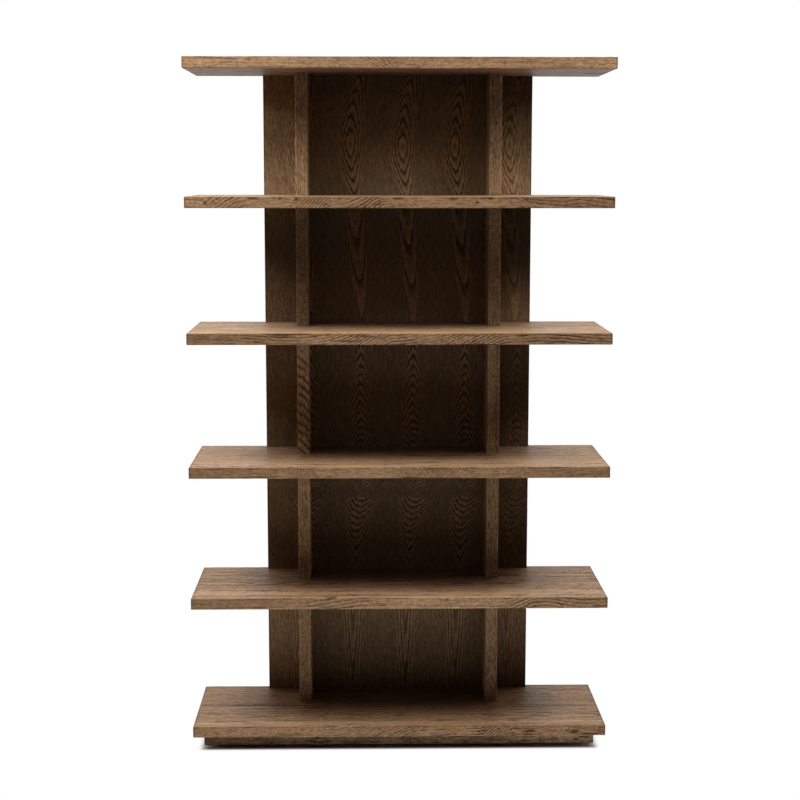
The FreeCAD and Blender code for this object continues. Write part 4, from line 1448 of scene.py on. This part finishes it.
def build_stud(settings, corner):
    """A stud with a right-hand thread over a bevelled hexagon collar and a plain pin."""
    node = f"foot_stud_{corner}"
    low, high = node_box(node)
    under = low[Z] + PIN_LENGTH
    over = under + COLLAR_HEIGHT
    hexagon = COLLAR_FLATS / 2 / np.cos(2 * np.pi * TURNS % (np.pi / 3) - np.pi / 6)
    face = np.minimum(hexagon, COLLAR_FACE)
    bevel = TIP_BEVEL / 2
    rows = [(low[Z], STUD_RADIUS - bevel), (low[Z] + bevel, STUD_RADIUS), (under, STUD_RADIUS), (under, face),
            (under + COLLAR_BEVEL, hexagon), (over - COLLAR_BEVEL, hexagon), (over, face)]
    thread = thread_rows(over, high[Z], STUD_RADIUS, STUD_PITCH, STUD_GROOVE)
    rows += tapered(thread, high[Z], STUD_RADIUS - TIP_BEVEL, 1.0)
    rows.append((high[Z], STUD_RADIUS - TIP_BEVEL))
    points, faces = turned(rows)
    middle = (low + high) / 2
    piece = new_piece(f"threaded_{node}", points + (middle[X], middle[Y], 0.0), faces,
                      material_of("zinc_steel", settings.colours))
    return place_piece(piece, "zinc_steel", node, body=f"stud_{corner}")


def screw_rows(low, high):
    """Rows of a countersunk wood screw, head down, with a cross recess."""
    angles = 2 * np.pi * TURNS
    rows = []
    for ring in RECESS_RINGS:
        beside = np.minimum(np.abs(ring * np.cos(angles)), np.abs(ring * np.sin(angles)))
        sunk = (beside < RECESS_HALF_WIDTH) & (ring < RECESS_REACH)
        rows.append((low + np.where(sunk, RECESS_DEPTH * (1 - ring / (2 * RECESS_REACH)), 0.0), ring))
    neck = low + HEAD_RADIUS - SHANK_RADIUS
    rows += [(low, HEAD_RADIUS - HEAD_RIM), (low + HEAD_RIM, HEAD_RADIUS - HEAD_RIM), (neck, SHANK_RADIUS)]
    thread = thread_rows(low + PLAIN_SHANK, high, SHANK_RADIUS, SCREW_PITCH, SCREW_GROOVE)
    rows += tapered(thread, high, HEAD_RIM, SHANK_RADIUS / SCREW_TIP)
    return rows + [(high, HEAD_RIM)]


def build_screws(settings):
    """The four screws that hold the plinth's corner blocks to the base."""
    node = "plinth_screws"
    low, high = node_box(node)
    one, faces = turned(screw_rows(low[Z], high[Z]))
    points, all_faces = [], []
    for x in (low[X] + HEAD_RADIUS, high[X] - HEAD_RADIUS):
        for y in (low[Y] + HEAD_RADIUS, high[Y] - HEAD_RADIUS):
            shift = len(points) * len(one)
            all_faces += [tuple(corner + shift for corner in face) for face in faces]
            points.append(one + (x, y, 0.0))
    piece = new_piece(f"countersunk_{node}", np.concatenate(points), all_faces,
                      material_of("zinc_steel", settings.colours))
    return place_piece(piece, "zinc_steel", node)


# Stage

# The floor's faint clouds, and how much they count.
FLOOR_CLOUDS = (3, 3, 3)
FLOOR_CONTRAST = 0.04

# Where the dim studio ends and where the backdrop is whole, by how far a direction points to the rear.
BACKDROP_LEVELS = (-0.1, 0.3)
WHITE = (1.0, 1.0, 1.0)

# The left side lamp mirrors the right one's place. The sensor is in millimetres.
OTHER_SIDE = Vector((-1.0, 1.0, 1.0))
SENSOR_WIDTH = 36.0


def mix_shaders(tree, factor, first, second):
    """Two shaders, from the first to the second by a factor."""
    return put(tree, "ShaderNodeMixShader", {0: factor, 1: first, 2: second}).outputs[0]


def lay_floor(studio):
    """A pale floor: white to the camera, but for the shadow close round the plinth."""
    half = studio.floor_size / 2
    corners = [(-half, -half, 0.0), (half, -half, 0.0), (half, half, 0.0), (-half, half, 0.0)]
    material, tree, shader = new_material("pale_floor")
    clouds = swing(tree, place_in_part(tree), FLOOR_CLOUDS)
    shade = calc(tree, "MULTIPLY_ADD", clouds, FLOOR_CONTRAST, studio.floor_shade)
    grey = put(tree, "ShaderNodeCombineXYZ", {"X": shade, "Y": shade, "Z": shade})
    feed(tree, shader["Base Color"], grey.outputs[0])
    shader["Roughness"].default_value = 1.0
    shader["Specular IOR Level"].default_value = 0.0
    white = put(tree, "ShaderNodeEmission", {"Color": WHITE, "Strength": 1.0})
    factor = calc(tree, "MULTIPLY", seen_ray(tree), clear_of_plinth(tree, studio.shadow_reach))
    both = mix_shaders(tree, factor, shader["Base Color"].node.outputs[0], white.outputs[0])
    output = next(node for node in tree.nodes if node.type == "OUTPUT_MATERIAL")
    feed(tree, output.inputs["Surface"], both)
    floor = new_piece("floor", corners, [(0, 1, 2, 3)], material)


def seen_ray(tree):
    """1 for rays from the camera, or from a mirror or glass."""
    path = put(tree, "ShaderNodeLightPath").outputs
    seen = calc(tree, "MAXIMUM", path["Is Camera Ray"], path["Is Glossy Ray"])
    return calc(tree, "MAXIMUM", seen, path["Is Transmission Ray"])


def clear_of_plinth(tree, reach):
    """0 at the plinth's foot, rising to 1 at the reach."""
    lows, highs = zip(*[node_box(f"plinth_{word}_rail") for word in RAILS])
    low, high = np.min(lows, axis=0), np.max(highs, axis=0)
    place = parts_of(tree, place_in_part(tree))
    gaps = []
    for axis in (X, Y):
        middle, half = (low[axis] + high[axis]) / 2, (high[axis] - low[axis]) / 2
        away = calc(tree, "ABSOLUTE", calc(tree, "SUBTRACT", place[axis], middle))
        gaps.append(calc(tree, "MAXIMUM", calc(tree, "SUBTRACT", away, half), 0.0))
    squares = calc(tree, "MULTIPLY_ADD", gaps[0], gaps[0], calc(tree, "POWER", gaps[1], 2.0))
    return remap(tree, calc(tree, "SQRT", squares), 0.0, reach)


def set_studio(scene, studio):
    """White to the camera all round, but to the bookcase only behind it, with a dim studio in front."""
    world = bpy.data.worlds.new("studio")
    world.use_nodes = True
    tree = world.node_tree
    tree.nodes.clear()
    way = put(tree, "ShaderNodeTexCoord").outputs["Generated"]
    light = remap(tree, parts_of(tree, way)["Y"], *BACKDROP_LEVELS, studio.fill, studio.backdrop)
    room = put(tree, "ShaderNodeBackground", {"Color": WHITE, "Strength": light})
    white = put(tree, "ShaderNodeBackground", {"Color": WHITE, "Strength": 1.0})
    both = mix_shaders(tree, seen_ray(tree), room.outputs[0], white.outputs[0])
    put(tree, "ShaderNodeOutputWorld", {"Surface": both})
    scene.world = world


def hang_lamp(name, place, target, size, power):
    """A soft box that faces the target."""
    lamp = bpy.data.lights.new(name, "AREA")
    lamp.shape = "RECTANGLE"
    lamp.size, lamp.size_y = size
    lamp.energy = power
    holder = bpy.data.objects.new(name, lamp)
    holder.location = place
    holder.rotation_euler = (Vector(target) - Vector(place)).to_track_quat("-Z", "Y").to_euler()
    bpy.context.scene.collection.objects.link(holder)


def set_camera(scene, studio):
    """The camera, from its place and its three turns."""
    yaw, pitch = studio.camera_yaw, studio.camera_pitch
    ahead = Vector((math.sin(yaw) * math.cos(pitch), math.cos(yaw) * math.cos(pitch), -math.sin(pitch)))
    right = Vector((math.cos(yaw), -math.sin(yaw), 0.0))
    turn = Matrix((right, right.cross(ahead), -ahead)).transposed()
    turn = turn @ Matrix.Rotation(studio.camera_roll, 3, "Z")
    data = bpy.data.cameras.new("camera")
    data.sensor_width = SENSOR_WIDTH
    data.lens = studio.lens
    camera = bpy.data.objects.new("camera", data)
    camera.matrix_world = Matrix.Translation(studio.camera_place) @ turn.to_4x4()
    scene.collection.objects.link(camera)
    scene.camera = camera


# Operators


class BOOKCASE_OT_shelves(bpy.types.Operator):
    """Builds the six shelves as worn boards of glued staves"""

    bl_idname = "bookcase.shelves"
    bl_label = "Shelves"

    def execute(self, context):
        for node in SHELVES:
            build_shelf(context.scene.bookcase, node)
        return {"FINISHED"}


class BOOKCASE_OT_dividers(bpy.types.Operator):
    """Builds the ten dividers as worn upright boards"""

    bl_idname = "bookcase.dividers"
    bl_label = "Dividers"

    def execute(self, context):
        for bay in BAYS:
            for side in SIDES:
                build_divider(context.scene.bookcase, side, bay)
        return {"FINISHED"}


class BOOKCASE_OT_back_panels(bpy.types.Operator):
    """Builds the five back panels with their slip-matched veneer"""

    bl_idname = "bookcase.back_panels"
    bl_label = "Back Panels"

    def execute(self, context):
        for bay in BAYS:
            build_back_panel(context.scene.bookcase, bay)
        return {"FINISHED"}


class BOOKCASE_OT_plinth(bpy.types.Operator):
    """Builds the plinth's mitred and straight rails"""

    bl_idname = "bookcase.plinth"
    bl_label = "Plinth"

    def execute(self, context):
        for word in RAILS:
            build_rail(context.scene.bookcase, word)
        return {"FINISHED"}


class BOOKCASE_OT_fittings(bpy.types.Operator):
    """Builds the studs and screws, and gives the blocks, tenons, inserts and pads their finishes"""

    bl_idname = "bookcase.fittings"
    bl_label = "Fittings"

    def execute(self, context):
        for corner in CORNERS:
            build_stud(context.scene.bookcase, corner)
        build_screws(context.scene.bookcase)
        slots = {row["node"]: row["material_slot"] for row in frame["record"]["subparts"]}
        for node, piece in frame["nodes"].items():
            if piece.hide_render:
                continue
            piece.data.materials.clear()
            piece.data.materials.append(material_of(slots[node], context.scene.bookcase.colours))
        return {"FINISHED"}


class BOOKCASE_OT_stage(bpy.types.Operator):
    """Sets the floor, the lamps, the studio and the camera"""

    bl_idname = "bookcase.stage"
    bl_label = "Stage"

    def execute(self, context):
        studio = context.scene.bookcase.studio
        lay_floor(studio)
        set_studio(context.scene, studio)
        middle = (Vector(CAD_BOX[0]) + Vector(CAD_BOX[1])) / 2
        hang_lamp("key", studio.key_place, middle, (studio.key_width, studio.key_depth), studio.key_power)
        sides = (studio.side_size, studio.side_size)
        right = Vector(studio.side_place)
        hang_lamp("right_side", right, middle, sides, studio.right_power)
        hang_lamp("left_side", right * OTHER_SIDE, middle, sides, studio.left_power)
        set_camera(context.scene, studio)
        context.scene.view_settings.view_transform = "Standard"
        return {"FINISHED"}


class BOOKCASE_PT_sidebar(bpy.types.Panel):
    """The bookcase's operators and settings"""

    bl_label = "Bookcase"
    bl_idname = "BOOKCASE_PT_sidebar"
    bl_space_type = "VIEW_3D"
    bl_region_type = "UI"
    bl_category = "Bookcase"

    def draw(self, context):
        for operator in OPERATORS:
            self.layout.operator(operator.bl_idname)
        settings = context.scene.bookcase
        for group in (settings.colours, settings.wear, settings.veneer, settings.studio):
            box = self.layout.box()
            for name in group.__annotations__:
                box.prop(group, name)


OPERATORS = (
    BOOKCASE_OT_shelves,
    BOOKCASE_OT_dividers,
    BOOKCASE_OT_back_panels,
    BOOKCASE_OT_plinth,
    BOOKCASE_OT_fittings,
    BOOKCASE_OT_stage,
)
CLASSES = (WoodColours, BoardWear, Veneer, Studio, BookcaseSettings, *OPERATORS, BOOKCASE_PT_sidebar)


def register():
    for item in CLASSES:
        bpy.utils.register_class(item)
    bpy.types.Scene.bookcase = PointerProperty(type=BookcaseSettings)


def unregister():
    del bpy.types.Scene.bookcase
    for item in reversed(CLASSES):
        bpy.utils.unregister_class(item)


def main():
    """Dresses the whole bookcase."""
    register()
    bpy.ops.bookcase.shelves()
    bpy.ops.bookcase.dividers()
    bpy.ops.bookcase.back_panels()
    bpy.ops.bookcase.plinth()
    bpy.ops.bookcase.fittings()
    bpy.ops.bookcase.stage()


if __name__ == "__main__":
    main()
